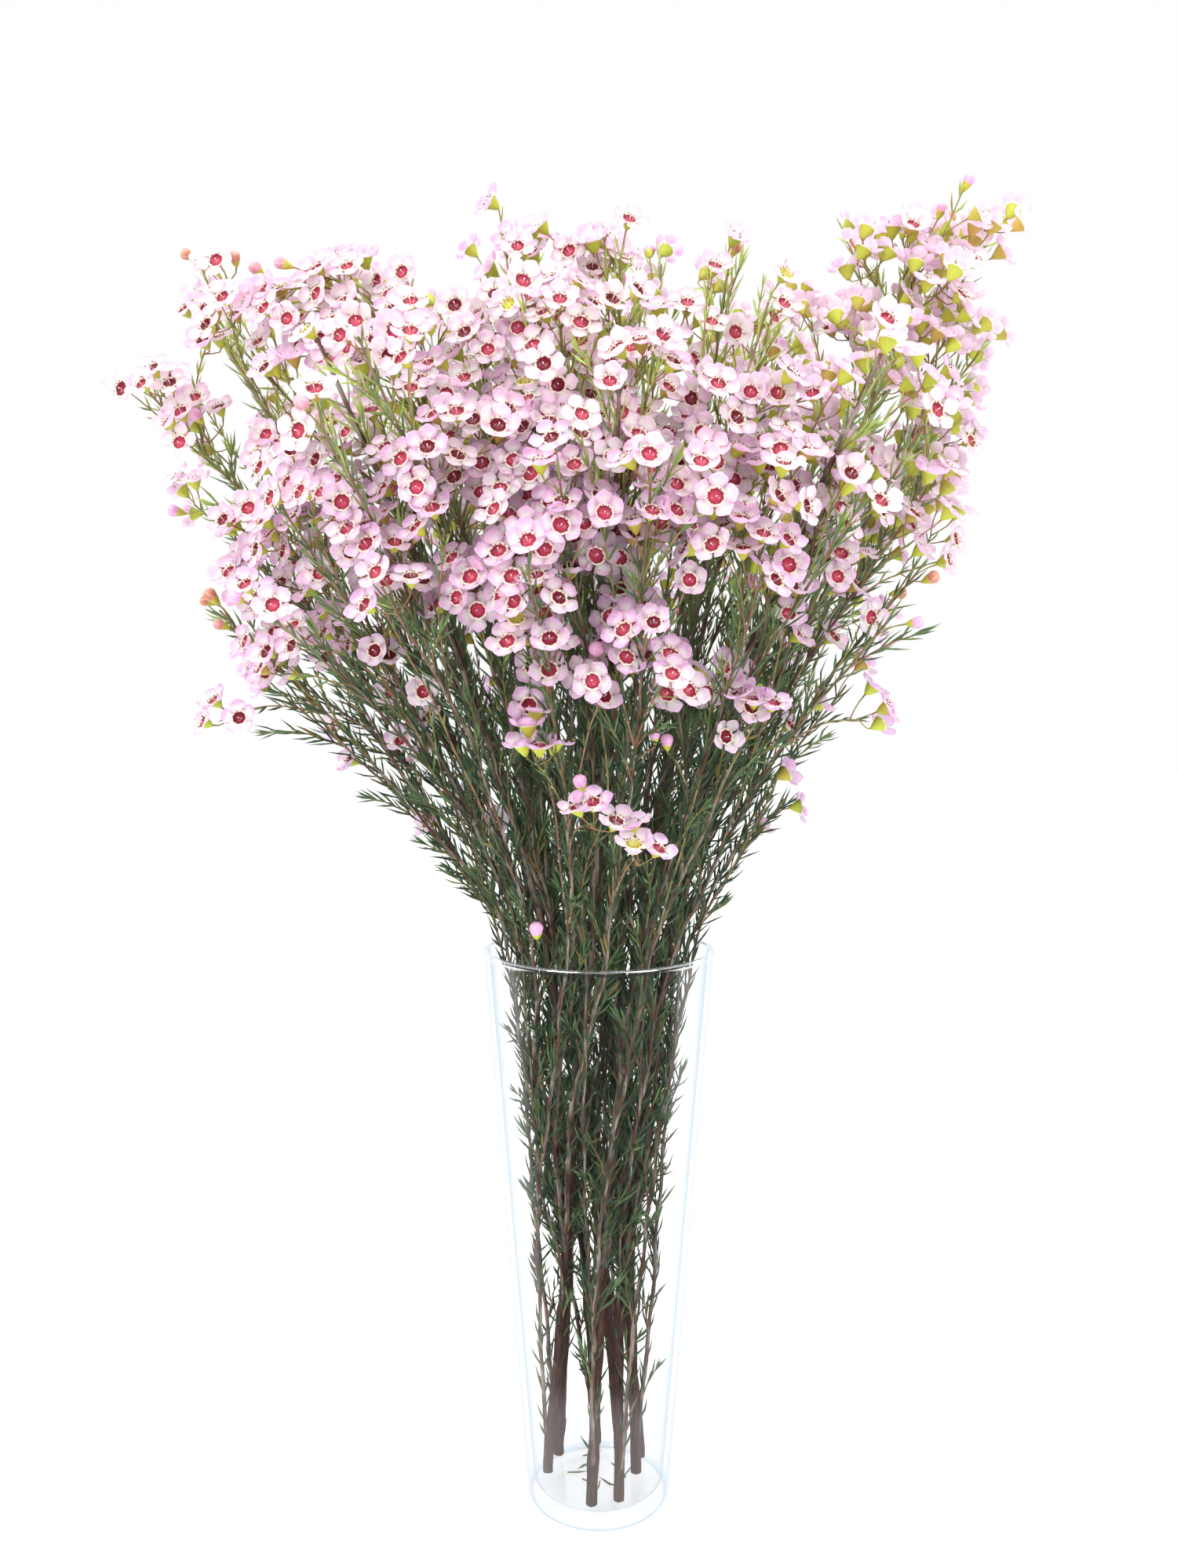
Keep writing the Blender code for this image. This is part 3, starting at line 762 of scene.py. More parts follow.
# The masses of flowers as seen: across, height, half width, half height and depth in millimetres, and heads
MASSES = [(*metres(sizes), heads) for *sizes, heads in [
    (-182, 610, 11, 8, -20, 1), (-186, 583, 13, 12, -40, 2), (-159, 585, 19, 19, -50, 4),
    (-123, 600, 21, 17, -50, 5), (-100, 576, 17, 21, -60, 3), (-134, 566, 19, 15, -60, 3),
    (-200, 541, 20, 14, -30, 3), (-168, 520, 7, 9, -30, 1), (-138, 513, 21, 19, -60, 4),
    (-163, 473, 13, 16, -30, 3), (-150, 494, 19, 15, -50, 2), (-154, 431, 23, 13, -50, 4),
    (-173, 400, 10, 7, -40, 1), (-119, 444, 15, 13, -70, 2), (-127, 475, 17, 17, -60, 2),
    (-85, 362, 11, 10, -30, 1), (-83, 554, 16, 13, -70, 2), (-108, 509, 21, 21, -80, 4),
    (-66, 513, 23, 21, -100, 6), (-100, 463, 23, 17, -90, 4), (-74, 463, 19, 17, -100, 3),
    (-39, 524, 23, 19, -100, 5), (-32, 486, 23, 23, -110, 6), (-28, 456, 21, 13, -110, 4),
    (3, 524, 23, 19, -100, 5), (10, 490, 23, 21, -110, 6), (3, 456, 19, 15, -90, 2),
    (37, 509, 23, 21, -100, 5), (45, 486, 21, 13, -110, 4), (64, 541, 19, 15, -90, 3),
    (75, 516, 19, 19, -90, 3), (22, 425, 23, 15, -100, 3), (-32, 435, 6, 4, -110, 1),
    (-28, 619, 17, 12, -30, 3), (-2, 613, 14, 14, -30, 3), (-9, 577, 21, 17, -60, 3),
    (-54, 577, 15, 12, -50, 2), (30, 580, 13, 13, -50, 1), (54, 604, 5, 6, -20, 1),
    (-24, 551, 23, 15, -80, 4), (26, 554, 19, 15, -80, 3), (85, 589, 19, 11, -30, 2),
    (125, 612, 13, 13, -20, 2), (147, 623, 17, 11, -20, 3), (175, 622, 13, 10, -10, 2),
    (159, 604, 19, 13, -30, 3), (164, 574, 15, 15, -30, 3), (136, 581, 19, 15, -40, 3),
    (113, 589, 13, 11, -30, 1), (147, 551, 21, 15, -50, 3), (168, 528, 9, 19, -20, 3),
    (128, 516, 19, 15, -60, 2), (140, 494, 21, 17, -60, 4), (152, 478, 10, 19, -40, 2),
    (106, 475, 19, 19, -80, 2), (94, 501, 17, 15, -90, 2), (107, 547, 15, 15, -60, 1),
    (124, 400, 12, 10, -40, 1), (107, 435, 6, 5, -60, 1), (90, 456, 15, 13, -80, 1)]]

# Low sprays that stand out by themselves in front, as seen: depth, end of the twig, blooms
LOW_SPRAYS = [
    (-0.105, (-0.0023, 0.3350), [(-0.0110, 0.3458), (-0.0030, 0.3480), (0.0084, 0.3389)]),
    (-0.108, (0.0198, 0.3170), [(0.0164, 0.3378), (0.0171, 0.3275), (0.0293, 0.3252)]),
    (-0.100, (-0.0297, 0.3660), [(-0.0372, 0.3763), (-0.0288, 0.3755), (-0.0215, 0.3770), (-0.0343, 0.3850),
                                 (-0.0300, 0.3920)]),
    (-0.095, (0.0770, 0.3880), [(0.0751, 0.3984), (0.0846, 0.3965), (0.0680, 0.4010)])]

# Buds as seen, that hang alone low in front, with their depths, and how far a bud reaches below its middle
BUD_NECK = 0.0062
LONE_BUDS = [(-0.0306, 0.2854, -0.062), (-0.0091, 0.3580, -0.098), (0.0270, 0.3810, -0.080),
             (0.0331, 0.3780, -0.080)]

# Places as seen where the flowers are still buds, and how many, and where blooms have a yellow disc
BUD_PLACES = [((-0.202, 0.441), 4), ((0.163, 0.636), 4), ((0.154, 0.445), 3), ((-0.160, 0.628), 3),
              ((0.083, 0.603), 1), ((0.0675, 0.438), 1), ((0.001, 0.424), 1)]
YELLOW_PLACES = [(-0.135, 0.570), (-0.051, 0.580), (0.074, 0.591), (-0.032, 0.435), (0.107, 0.435),
                 (0.0171, 0.3275), (-0.050, 0.388), (-0.038, 0.548)]
CROWD_MOST = 2000


class Crowd:
    """The middles of all the flowers so far."""

    def __init__(self, places):
        self.places = np.zeros((CROWD_MOST, 3))
        self.count = len(places)
        self.places[:self.count] = places

    def gap(self, point):
        return np.sqrt(((self.places[:self.count] - np.array(tuple(point))) ** 2).sum(axis=1).min())

    def add(self, point):
        self.places[self.count] = tuple(point)
        self.count += 1


def in_box(point, room):
    """True inside the box of the solids, with room to spare on every side."""
    return all(low + room < at < high - room for low, at, high in zip(cad_low, point, cad_high))


def clear_of_glass(point, room):
    """True for a point above the rim or inside the vase."""
    out = math.hypot(point[0], point[1])
    return point[2] > VASE_HEIGHT + room or out < inner_radius(point[2]) - room


def as_seen(point):
    """Where a place looks to be, across and up on the middle plane."""
    nearer = EYE[1] / (EYE[1] - point[1])
    return mix(EYE[0], point[0], nearer), mix(EYE[2], point[2], nearer)


def seen_at(across, height, depth):
    """The place at this depth that looks to be there on the middle plane."""
    share = (EYE[1] - depth) / EYE[1]
    return Vector((mix(EYE[0], across, share), depth, mix(EYE[2], height, share)))


def below_outline(point):
    across, height = as_seen(point)
    return height < np.interp(across, *zip(*TOP_LINE))


def past(value, start, span):
    """0 up to a start, 1 a span beyond it, and smooth between."""
    return smooth((value - start) / span)


def facing_there(point, chance):
    """The way that the flowers of a place turn: to the eye on the left, and from it high up on the right."""
    across, height = as_seen(point)
    away = past(across, 0.065, 0.045) * past(height, 0.465, 0.045) * chance.uniform(0.0, 1.1)
    away *= 1 - 0.75 * past(height, 0.580, 0.025)
    to_eye = 0.42 * (1 - past(across, -0.02, 0.08)) * past(-point[1], -0.05, 0.04)
    return Vector(AWAY_FROM_EYE) * away + Vector((0, -to_eye, 0))


def add_flowers(stem, root, axis, count, spread, crowd, chance):
    """Flowers whose stalks splay from one root, round an axis."""
    root, axis = Vector(root), Vector(axis).normalized()
    turn = chance.uniform(0, 2 * math.pi)
    base = outward(stem.k, root) * HEAD_OUT + Vector((0, 0, HEAD_UP)) + facing_there(root, chance)
    for n in range(count):
        for attempt in range(TRIES):
            around = turn + n * 2.4 + chance.uniform(-0.6, 0.6) + attempt * 0.7
            way = sideways_of(axis, around, chance.uniform(*spread))
            facing = (base + way * HEAD_ALONG + shaken(chance, HEAD_CHANCE)).normalized()
            centre = root + way * chance.uniform(*STALK_LENGTH) + facing * CUP_DEPTH
            if in_box(centre, EDGE_ROOM) and below_outline(centre) and crowd.gap(centre) > HEAD_GAP:
                crowd.add(centre)
                kind = "bud" if chance.random() < BUD_CHANCE else "bloom"
                stem.flowers.append(Flower(root, centre, facing, kind))
                break


def head_of_flowers(stem, path, crowd, chance):
    """A loose head round the end of a twig: one flower or two go on along it, and the others splay."""
    count = chance.choice(HEAD_SIZES)
    axis = Vector(path[-1]) - Vector(path[-2])
    add_flowers(stem, path[-1], axis, min(count, 2), (0.05, 0.55), crowd, chance)
    add_flowers(stem, path[-2], axis, count - 2, (0.6, 1.15), crowd, chance)


def way_at(wood, place):
    return (Vector(wood.path[place + 1]) - Vector(wood.path[place])).normalized()


def side_path(wood, place, end, draw, follow=0.16):
    """A twig that leaves a branch along it and bends over to its own end."""
    start, end = Vector(wood.path[place]), Vector(end)
    middle = start.lerp(end, 0.45) + way_at(wood, place) * follow * (end - start).length
    return swaying(evenly(through([start, middle, end], 6), SPRIG_STEP), 0.0006, draw)


def wanted_here(point):
    """How much a place wants flowers: in front as the masses have them, behind alike but for low down."""
    across, height = as_seen(point)
    wanted = max(math.exp(-((across - x) / wide) ** 2 / 1.6 - ((height - z) / tall) ** 2 / 1.6)
                 for x, z, wide, tall, _, _ in MASSES)
    behind = 0.45 * past(point[2], 0.385, 0.07)
    return mix(wanted, behind, past(point[1], -0.01, 0.07))


def wood_of(*kinds):
    return [(stem, wood) for stem in stems for wood in stem.wood if wood.kind in kinds]


def add_companions(crowd):
    """More flowers from the roots of the first ones, so that they stand in heads."""
    chance = random.Random(2050)
    for stem in stems:
        for flower in list(stem.flowers):
            axis = flower.centre - flower.facing * CUP_DEPTH - Vector(flower.root)
            axis = flower.facing if axis.length < 0.002 else axis
            root = Vector(flower.root) - (flower.facing * 0.001 if flower.ends_twig else Vector((0, 0, 0)))
            if chance.random() < wanted_here(flower.centre) * 1.8:
                add_flowers(stem, root, axis, chance.choice(COMPANY), (0.55, 1.15), crowd, chance)


def add_shoots(crowd):
    chance, draw = chances(2053)
    for stem, wood in wood_of("main", "branch"):
        above = [n for n in range(len(wood.path) - 2) if wood.path[n][2] > VASE_HEIGHT + 0.008]
        if len(above) < 12:
            continue
        for _ in range(TRIES):
            place = above[int(chance.uniform(0.0, 0.35) * len(above))]
            last = above[int(chance.uniform(0.72, 0.97) * len(above))]
            side = leaning(way_at(wood, last), chance, 1.2, 1.6)
            end = Vector(wood.path[last]) + side * chance.uniform(*SHOOT_SIDE)
            wanted = wanted_here(end) > 0.22 and below_outline(end + Vector((0, 0, 0.008)))
            if wanted and in_box(end, SHOOT_ROOM) and SHOOT_NEAR[0] < crowd.gap(end) < SHOOT_NEAR[1]:
                path = side_path(wood, place, end, draw, follow=0.10)
                stem.wood.append(Wood("shoot", path, TWIG_R * 1.6, TWIG_R))
                head_of_flowers(stem, path, crowd, chance)
                break


def add_twig(stem, wood, place, end, draw):
    path = side_path(wood, place, end, draw)
    stem.wood.append(Wood("twig", path, TWIG_R, TWIG_TIP_R))
    return stem, path


def twig_to(end, draw, span=SPRIG_SPAN):
    """A twig to this end from the wood that it grows out of best: a span back, below it and on its way."""
    found = wood_of("main", "branch", "shoot")
    roots = np.vstack([wood.path[:-2] for _, wood in found])
    ways = np.vstack([np.diff(wood.path, axis=0)[:-1] for _, wood in found])
    ahead = np.array(tuple(end)) - roots
    spans = np.linalg.norm(ahead, axis=1)
    turned_off = 1 - (ahead * ways).sum(axis=1) / (spans * np.linalg.norm(ways, axis=1))
    cost = np.abs(spans - span) + TURN_COST * turned_off + LOW_COST * (roots[:, 2] < VASE_HEIGHT + 0.012)
    place = int(cost.argmin())
    for stem, wood in found:
        if place < len(wood.path) - 2:
            return add_twig(stem, wood, place, end, draw)
        place -= len(wood.path) - 2


def add_low_sprays(crowd):
    chance, draw = chances(2054)
    for depth, end, blooms in LOW_SPRAYS:
        stem, path = twig_to(seen_at(*end, depth), draw)
        root = Vector(path[-1])
        for bloom in blooms:
            centre = seen_at(*bloom, depth + chance.uniform(-0.006, 0.004))
            away = (centre - root).normalized()
            facing = (away * 0.6 + Vector((0, -0.40, 0.60)) + shaken(chance, 0.25)).normalized()
            stem.flowers.append(Flower(root, centre, facing))
            crowd.add(centre)
    for across, height, depth in LONE_BUDS:
        facing = Vector((chance.uniform(-0.2, 0.2), -0.5, 0.8)).normalized()
        stem, path = twig_to(seen_at(across, height, depth) - facing * BUD_NECK, draw, span=0.020)
        bud = Flower(path[-1], Vector(path[-1]) + facing * BUD_NECK, facing, "bud", ends_twig=True)
        stem.flowers.append(bud)
        crowd.add(bud.centre)


def add_masses(crowd):
    """Sprigs with heads of flowers for each mass, every one where the mass is still the emptiest."""
    chance, draw = chances(2055)
    for x, z, wide, tall, depth, heads in MASSES:
        for _ in range(heads):
            choices = []
            for _ in range(TRIES):
                turn, reach = chance.uniform(0, 2 * math.pi), math.sqrt(chance.random())
                middle = seen_at(x + wide * reach * math.cos(turn), z + tall * reach * math.sin(turn),
                                 depth + chance.uniform(-0.020, 0.015))
                if below_outline(middle) and in_box(middle, EDGE_ROOM + 0.002):
                    choices.append((crowd.gap(middle), middle))
            if choices and max(choices)[0] > HEAD_GAP:
                end = max(choices)[1] + Vector((0, 0.006, -0.007))
                head_of_flowers(*twig_to(end, draw), crowd, chance)


def add_sprigs(crowd):
    chance, draw = chances(2051)
    found = wood_of("main", "branch", "shoot")
    for _ in range(SPRIGS):
        best = None
        for _ in range(SPRIG_CHOICES):
            stem, wood = chance.choice(found)
            place = int(chance.uniform(0.55, 0.95) * (len(wood.path) - 2))
            start = Vector(wood.path[place])
            out = Vector((start.x, start.y, 0)).normalized() * 0.30
            lean = leaning(way_at(wood, place), chance, 0.25, 0.75)
            end = start + (lean + out).normalized() * chance.uniform(*SPRIG_LENGTH)
            gap = crowd.gap(end)
            behind = start.z > VASE_HEIGHT + 0.03 and end.y > 0.0
            fits = behind and below_outline(end) and in_box(end, EDGE_ROOM + 0.004)
            if not fits or not SPRIG_NEAR[0] < gap < SPRIG_NEAR[1]:
                continue
            score = gap * wanted_here(end)
            if best is None or score > best[0]:
                best = (score, stem, wood, place, end)
        if best:
            head_of_flowers(*add_twig(*best[1:], draw), crowd, chance)


def at_height(path, height):
    return Vector(path[np.argmin(abs(path[:, 2] - height))])


def add_inner_shoots():
    """Thin shoots that run up close to the middle of the vase, between the branches, and end among them."""
    chance, draw = chances(2056)
    for stem in stems:
        main = stem.wood[0].path
        start = at_height(main, chance.uniform(0.05, 0.15))
        knots = [start]
        heights = (mix(start.z, VASE_HEIGHT, 0.45), VASE_HEIGHT, 0.330, 0.395)
        for height, near in zip(heights, INNER_SHARES):
            at = at_height(main, height)
            knots.append(Vector((at.x * near, at.y * near, height)) + shaken(chance, 0.006, axes=2))
        path = swaying(evenly(through(knots, 8), SHOOT_STEP), 0.0012, draw)
        stem.wood.append(Wood("shoot", path, TWIG_R * 1.7, TWIG_R * 0.9))


def add_wall_shoots():
    """Thin shoots that run up in the vase close to the glass, outside the branches, and end above the rim."""
    chance, draw = chances(2057)
    for stem in stems:
        start = at_height(stem.wood[0].path, chance.uniform(0.06, 0.12))
        angle = math.atan2(start.y, start.x) + chance.uniform(-0.35, 0.35)
        knots = [start]
        for height, share in zip((start.z + 0.045, start.z + 0.10, VASE_HEIGHT), WALL_SHARES):
            angle += chance.uniform(-0.10, 0.10)
            knots.append(at_angle(inner_radius(height) * share, angle, height))
        end = 0.058 + chance.uniform(0, 0.010)
        knots.append(at_angle(end, angle, 0.325 + chance.uniform(0, 0.02)))
        path = swaying(evenly(through(knots, 8), SHOOT_STEP), 0.0010, draw)
        stem.wood.append(Wood("shoot", path, TWIG_R * 1.6, TWIG_R * 0.9))


def add_leafy_twigs(crowd):
    chance, draw = chances(2052)
    for stem, wood in wood_of("main", "branch", "shoot"):
        length = steps_of(wood.path).sum()
        for n in range(int(length / LEAFY_GAP)):
            share = (n + chance.uniform(0.3, 0.9)) * LEAFY_GAP / length
            place = min(int(share * (len(wood.path) - 2)), len(wood.path) - 2)
            start = Vector(wood.path[place])
            if start.z < LEAFY_FROM:
                continue
            for _ in range(LEAFY_TRIES):
                end = start + leaning(way_at(wood, place), chance, 0.25, 0.60) * chance.uniform(*LEAFY_LENGTH)
                inside = clear_of_glass(end, 0.004) and clear_of_glass(start.lerp(end, 0.6), 0.003)
                if inside and in_box(end, LEAFY_ROOM[0]) and crowd.gap(end) > LEAFY_ROOM[1]:
                    path = side_path(wood, place, end, draw)[::2]
                    if len(path) > 2:
                        stem.wood.append(Wood("leafy", path, TWIG_R * 0.9, TWIG_TIP_R * 0.8))
                    break


def keep_in_box():
    """Blooms whose petals would reach past the box of the solids move in by that much, on short stalks."""
    for flower in [flower for stem in stems for flower in stem.flowers]:
        place = []
        for at, way, low, high in zip(flower.centre, flower.facing, cad_low, cad_high):
            flat = FLOWER_R * BLOOM_SPREAD * math.sqrt(max(1 - way * way, 0))
            low, high = low + flat + max(-way, 0) * BLOOM_DEPTH, high - flat - max(way, 0) * BLOOM_DEPTH
            place.append(min(max(at, low), high))
        if (Vector(place) - flower.centre).length > 0.0001:
            flower.centre, flower.ends_twig = Vector(place), False


def set_kinds():
    """Buds, and blooms with yellow discs, where the photograph has them: the nearest that it can see."""
    flowers = [flower for stem in stems for flower in stem.flowers]
    for place, count, kind in ([(place, count, "bud") for place, count in BUD_PLACES]
                               + [(place, 1, "yellow") for place in YELLOW_PLACES]):
        flowers.sort(key=lambda flower: math.dist(as_seen(flower.centre), place) + 0.12 * flower.centre.y)
        for flower in flowers[:count]:
            flower.kind = kind


crowd = Crowd([tuple(flower.centre) for stem in stems for flower in stem.flowers])
for add in (add_companions, add_shoots, add_low_sprays, add_masses, add_sprigs):
    add(crowd)
add_inner_shoots()
add_wall_shoots()
add_leafy_twigs(crowd)
keep_in_box()
set_kinds()


# The bark: stringy reddish brown on the old wood, with swellings where branches leave; smoother and greyer on
# the branches, with a ring at each pair of leaf scars; green to red-brown on the twigs and flower stalks.

BARK_OLD = (0.105, 0.048, 0.036, 1.0)
BARK_DARK = (0.035, 0.016, 0.013, 1.0)
BARK_GREY = (0.320, 0.265, 0.215, 1.0)
BARK_YOUNG = (0.260, 0.235, 0.065, 1.0)
BARK_RED = (0.310, 0.165, 0.095, 1.0)
BARK_CUT = (0.42, 0.33, 0.25, 1.0)
FIBRE_SCALE = (900.0, 900.0, 110.0)
PATCH_SCALE = (260.0, 260.0, 60.0)
WOOD_SIDES = {"main": 10, "branch": 5, "shoot": 5, "twig": 4, "leafy": 3, "stalk": 3}
WOOD_AGE = {"main": (1.0, 0.40), "branch": (0.62, 0.30), "shoot": (0.50, 0.30), "twig": (0.34, 0.12),
            "leafy": (0.34, 0.10)}
STALK_AGE = 0.05
STALK_RADII = [STALK_R * 1.3, STALK_R, STALK_R, STALK_R * 1.6]


def tube(path, radii, sides, start=0.0):
    """A closed rod along a path: its points, its faces, and where each point is in the grain of the wood."""
    ahead = np.gradient(path, axis=0)
    ahead /= np.linalg.norm(ahead, axis=1)[:, None]
    across = np.array(Vector(ahead[0]).orthogonal().normalized())
    firsts = []
    for way in ahead:
        across = across - way * across.dot(way)
        across /= np.linalg.norm(across)
        firsts.append(across)
    firsts = np.array(firsts)
    seconds = np.cross(ahead, firsts)
    turns = np.arange(sides) * 2 * np.pi / sides
    cos, sin = np.cos(turns), np.sin(turns)
    radii = np.broadcast_to(np.array(radii).reshape(len(path), -1), (len(path), sides))
    ring = cos[None, :, None] * firsts[:, None] + sin[None, :, None] * seconds[:, None]
    points = (path[:, None] + ring * radii[:, :, None]).reshape(-1, 3)
    travelled = np.broadcast_to((lengths_along(path) + start)[:, None], radii.shape)
    grain = np.stack([cos * radii, sin * radii, travelled], axis=-1).reshape(-1, 3)
    faces = [list(range(sides))[::-1]]
    for low in range(0, (len(path) - 1) * sides, sides):
        pairs = [(low + m, low + (m + 1) % sides) for m in range(sides)]
        faces += [[a, b, b + sides, a + sides] for a, b in pairs]
    faces.append([(len(path) - 1) * sides + m for m in range(sides)])
    return points, faces, grain


def wood_radii(wood, draw):
    """How thick the wood is along its path, with its swellings, leaf-scar rings and ridges."""
    count = len(wood.path)
    share = np.linspace(0, 1, count)
    radii = mix(wood.root_r, wood.tip_r, share ** (0.8 if wood.kind == "main" else 1.0))
    if wood.kind == "main":
        for middle in draw.uniform(0.03, 0.95, 16):
            radii = radii * (1 + draw.uniform(0.05, 0.22) * np.exp(-((share - middle) / 0.009) ** 2))
        ridges = 1 + 0.05 * np.sin(np.arange(WOOD_SIDES["main"]) * 2.4 + draw.uniform(0, 6))
        return radii[:, None] * ridges + draw.normal(0, 0.00006, (count, WOOD_SIDES["main"]))
    rings = np.where(np.arange(count) % 2 == 0, 1.05, 0.85) if wood.kind in ("branch", "shoot") else 1.0
    flare = 1 + 0.5 * np.exp(-share * count / 1.5)
    return radii * rings * flare * draw.uniform(0.94, 1.06, count)


def stalk_path(flower):
    """A flower stalk that leaves its twig and bends into the cup along the way the flower faces."""
    neck = Vector(flower.centre) - flower.facing * (CUP_DEPTH - 0.0003)
    root = Vector(flower.root)
    span = (neck - root).length
    bend = neck - flower.facing * span * 0.35
    first = root + (bend - root) * 0.45 + Vector((0, 0, 0.06 * span))
    shares = (0.0, 0.34, 0.67, 1.0)
    return np.array([tuple(root * (1 - t) ** 3 + first * 3 * t * (1 - t) ** 2 + bend * 3 * t * t * (1 - t)
                           + neck * t ** 3) for t in shares])


def opaque(made, shade, colour, roughness, more):
    """Gives a material a surface of this colour and roughness, with what more it has."""
    return closed(made, shade, shade.node("ShaderNodeBsdfPrincipled", {}, {
        "Base Color": colour, "Roughness": roughness, **more}))


def bark():
    made, shade = new_finish("stem_bark")
    age, chance, cut = looks(shade)
    grain = shade.node("ShaderNodeAttribute", {"attribute_name": "grain"}, out="Vector")
    along, wide = [shade.node("ShaderNodeMapping", {}, {"Vector": grain, "Scale": scale})
                   for scale in (FIBRE_SCALE, PATCH_SCALE)]
    fibres = noise(shade, 1.0, 5.0, along, 0.65)
    patches = noise(shade, 1.0, 3.0, wide)
    old = fibres.rising(0.36, 0.66).colour(BARK_DARK, BARK_OLD)
    grey = patches.rising(0.40, 0.66).colour(BARK_OLD, BARK_GREY)
    grey = fibres.rising(0.30, 0.52).colour(BARK_DARK, grey)
    young = (chance + (patches - 0.5) * 0.8).rising(0.35, 0.75).colour(BARK_YOUNG, BARK_RED)
    colour = age.rising(0.20, 0.42).colour(young, grey)
    colour = (age + (patches - 0.5) * 0.3).rising(0.55, 0.90).colour(colour, old)
    return opaque(made, shade, cut.colour(colour, BARK_CUT), 0.62 + fibres * 0.3, {
        "Normal": bump(shade, 0.85, 0.0004, fibres), "Specular IOR Level": 0.3})


bark_finish = bark()
for stem in stems:
    heap = Heap()
    draw = np.random.default_rng(300 + stem.k)
    for wood in stem.wood:
        root_age, tip_age = WOOD_AGE[wood.kind]
        sides = WOOD_SIDES[wood.kind]
        points, faces, grain = tube(wood.path, wood_radii(wood, draw), sides, start=draw.uniform(0, 9))
        age = np.repeat(np.linspace(root_age, tip_age, len(wood.path)), sides)
        cut = np.zeros(len(points))
        if wood.kind == "main":
            cut[:sides] = 1.0
        heap.add(points, faces, np.column_stack([age, np.full(len(points), draw.random()), cut, cut]), grain)
    for flower in stem.flowers:
        if not flower.ends_twig:
            sides = WOOD_SIDES["stalk"]
            points, faces, grain = tube(stalk_path(flower), STALK_RADII, sides, start=draw.uniform(0, 9))
            heap.add(points, faces, (STALK_AGE, draw.random(), 0, 0), grain)
    made = heap.piece(f"stem_{stem.k + 1}_wood", bark_finish)
    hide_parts(f"waxflower_stem_{stem.k + 1}")


# The leaves are stiff, narrow needles, three-sided and a little hooked, that grow from the wood in opposite
# pairs, each pair square to the last. They are dark green low down, partly as older leaves and partly as
# painted shade. They are fresh and yellowish near the tips, and lighter higher up, partly as painted light.

NEEDLE_HALF_WIDTH = 0.00062
NEEDLES_FROM = {"main": 0.045, "branch": 0.006, "shoot": 0.006, "twig": 0.006, "leafy": 0.006}
NEEDLE_STEPS = (0.0, 0.5, 1.0)
NEEDLE_FILL = (0.65, 1.0, 0.0)
TIP_LEAN = 0.20
# Painted shade and light: below this height the needles are painted darker, as if shaded, and above it
# lighter, as if lit, as well as fresher
LIT_AND_FRESH_FROM = 0.37
LIT_AND_FRESH_OVER = 0.19
LIT_AND_FRESH_MOST = 0.74
THIN_BELOW = 0.10
THIN_SHARE = 0.5
FLOWER_ROOM = 0.0052
GLASS_ROOM = 0.0008
BOX_ROOM = 0.0012
NEEDLE_DARK = (0.042, 0.077, 0.043, 1.0)
NEEDLE_GREEN = (0.125, 0.205, 0.083, 1.0)
NEEDLE_FRESH = (0.400, 0.490, 0.110, 1.0)
NEEDLE_DRY = (0.260, 0.160, 0.045, 1.0)
NEEDLE_FRESHER = {"main": 0.0, "branch": 0.0, "shoot": 0.05, "twig": 0.16, "leafy": 0.22}

# The space between pairs, the needles' length and how far they lean from the wood, for each kind of wood
NEEDLES_ON = {"main": (0.0100, 0.016, 0.55), "branch": (0.0078, 0.0155, 0.54), "shoot": (0.0080, 0.013, 0.50),
              "twig": (0.0075, 0.0095, 0.50), "leafy": (0.0046, 0.0135, 0.50)}


def needles_along(wood, draw):
    """Rows of (root, way, bend, length, freshness with painted light and shade) for the needle pairs of one
    woody path.
    """
    gap, length, lean = NEEDLES_ON[wood.kind]
    lengths = lengths_along(wood.path)
    end = lengths[-1]
    places = np.arange(NEEDLES_FROM[wood.kind], end - 0.001, gap) + draw.uniform(-0.1, 0.1) * gap
    if wood.kind == "leafy":
        places = np.concatenate([places, [end - 0.0012, end - 0.0004]])
    roots = between(wood.path, lengths, places)
    ahead = between(np.gradient(wood.path, axis=0), lengths, places)
    ahead /= np.linalg.norm(ahead, axis=1)[:, None]
    first_side = np.cross(ahead, (0.31, 0.52, 0.11))
    first_side /= np.linalg.norm(first_side, axis=1)[:, None]
    second_side = np.cross(ahead, first_side)
    rows, count = [], len(places)
    for opposite in (0, np.pi):
        around = np.arange(count) * np.pi / 2 + opposite + draw.normal(0, 0.25, count)
        side = first_side * np.cos(around)[:, None] + second_side * np.sin(around)[:, None]
        at_tip = places > end - 0.0015
        leans = np.where(at_tip, TIP_LEAN, lean + draw.normal(0, 0.13, count))
        way = ahead * np.cos(leans)[:, None] + side * np.sin(leans)[:, None]
        bend = (ahead - way) * draw.uniform(-0.1, 0.5, count)[:, None]
        sizes = length * draw.uniform(0.72, 1.12, count) * np.where(at_tip, 0.8, 1.0)
        # Painted shade low down and painted light higher up, on top of older and fresher leaves
        fresh_and_lit = LIT_AND_FRESH_MOST * np.clip((roots[:, 2] - LIT_AND_FRESH_FROM) / LIT_AND_FRESH_OVER, 0, 1)
        fresh_and_lit += draw.normal(0.04, 0.10, count)
        fresh_and_lit += NEEDLE_FRESHER[wood.kind] * (places / end)
        rows.append(np.column_stack([roots, way, bend, sizes, fresh_and_lit]))
    return np.vstack(rows)


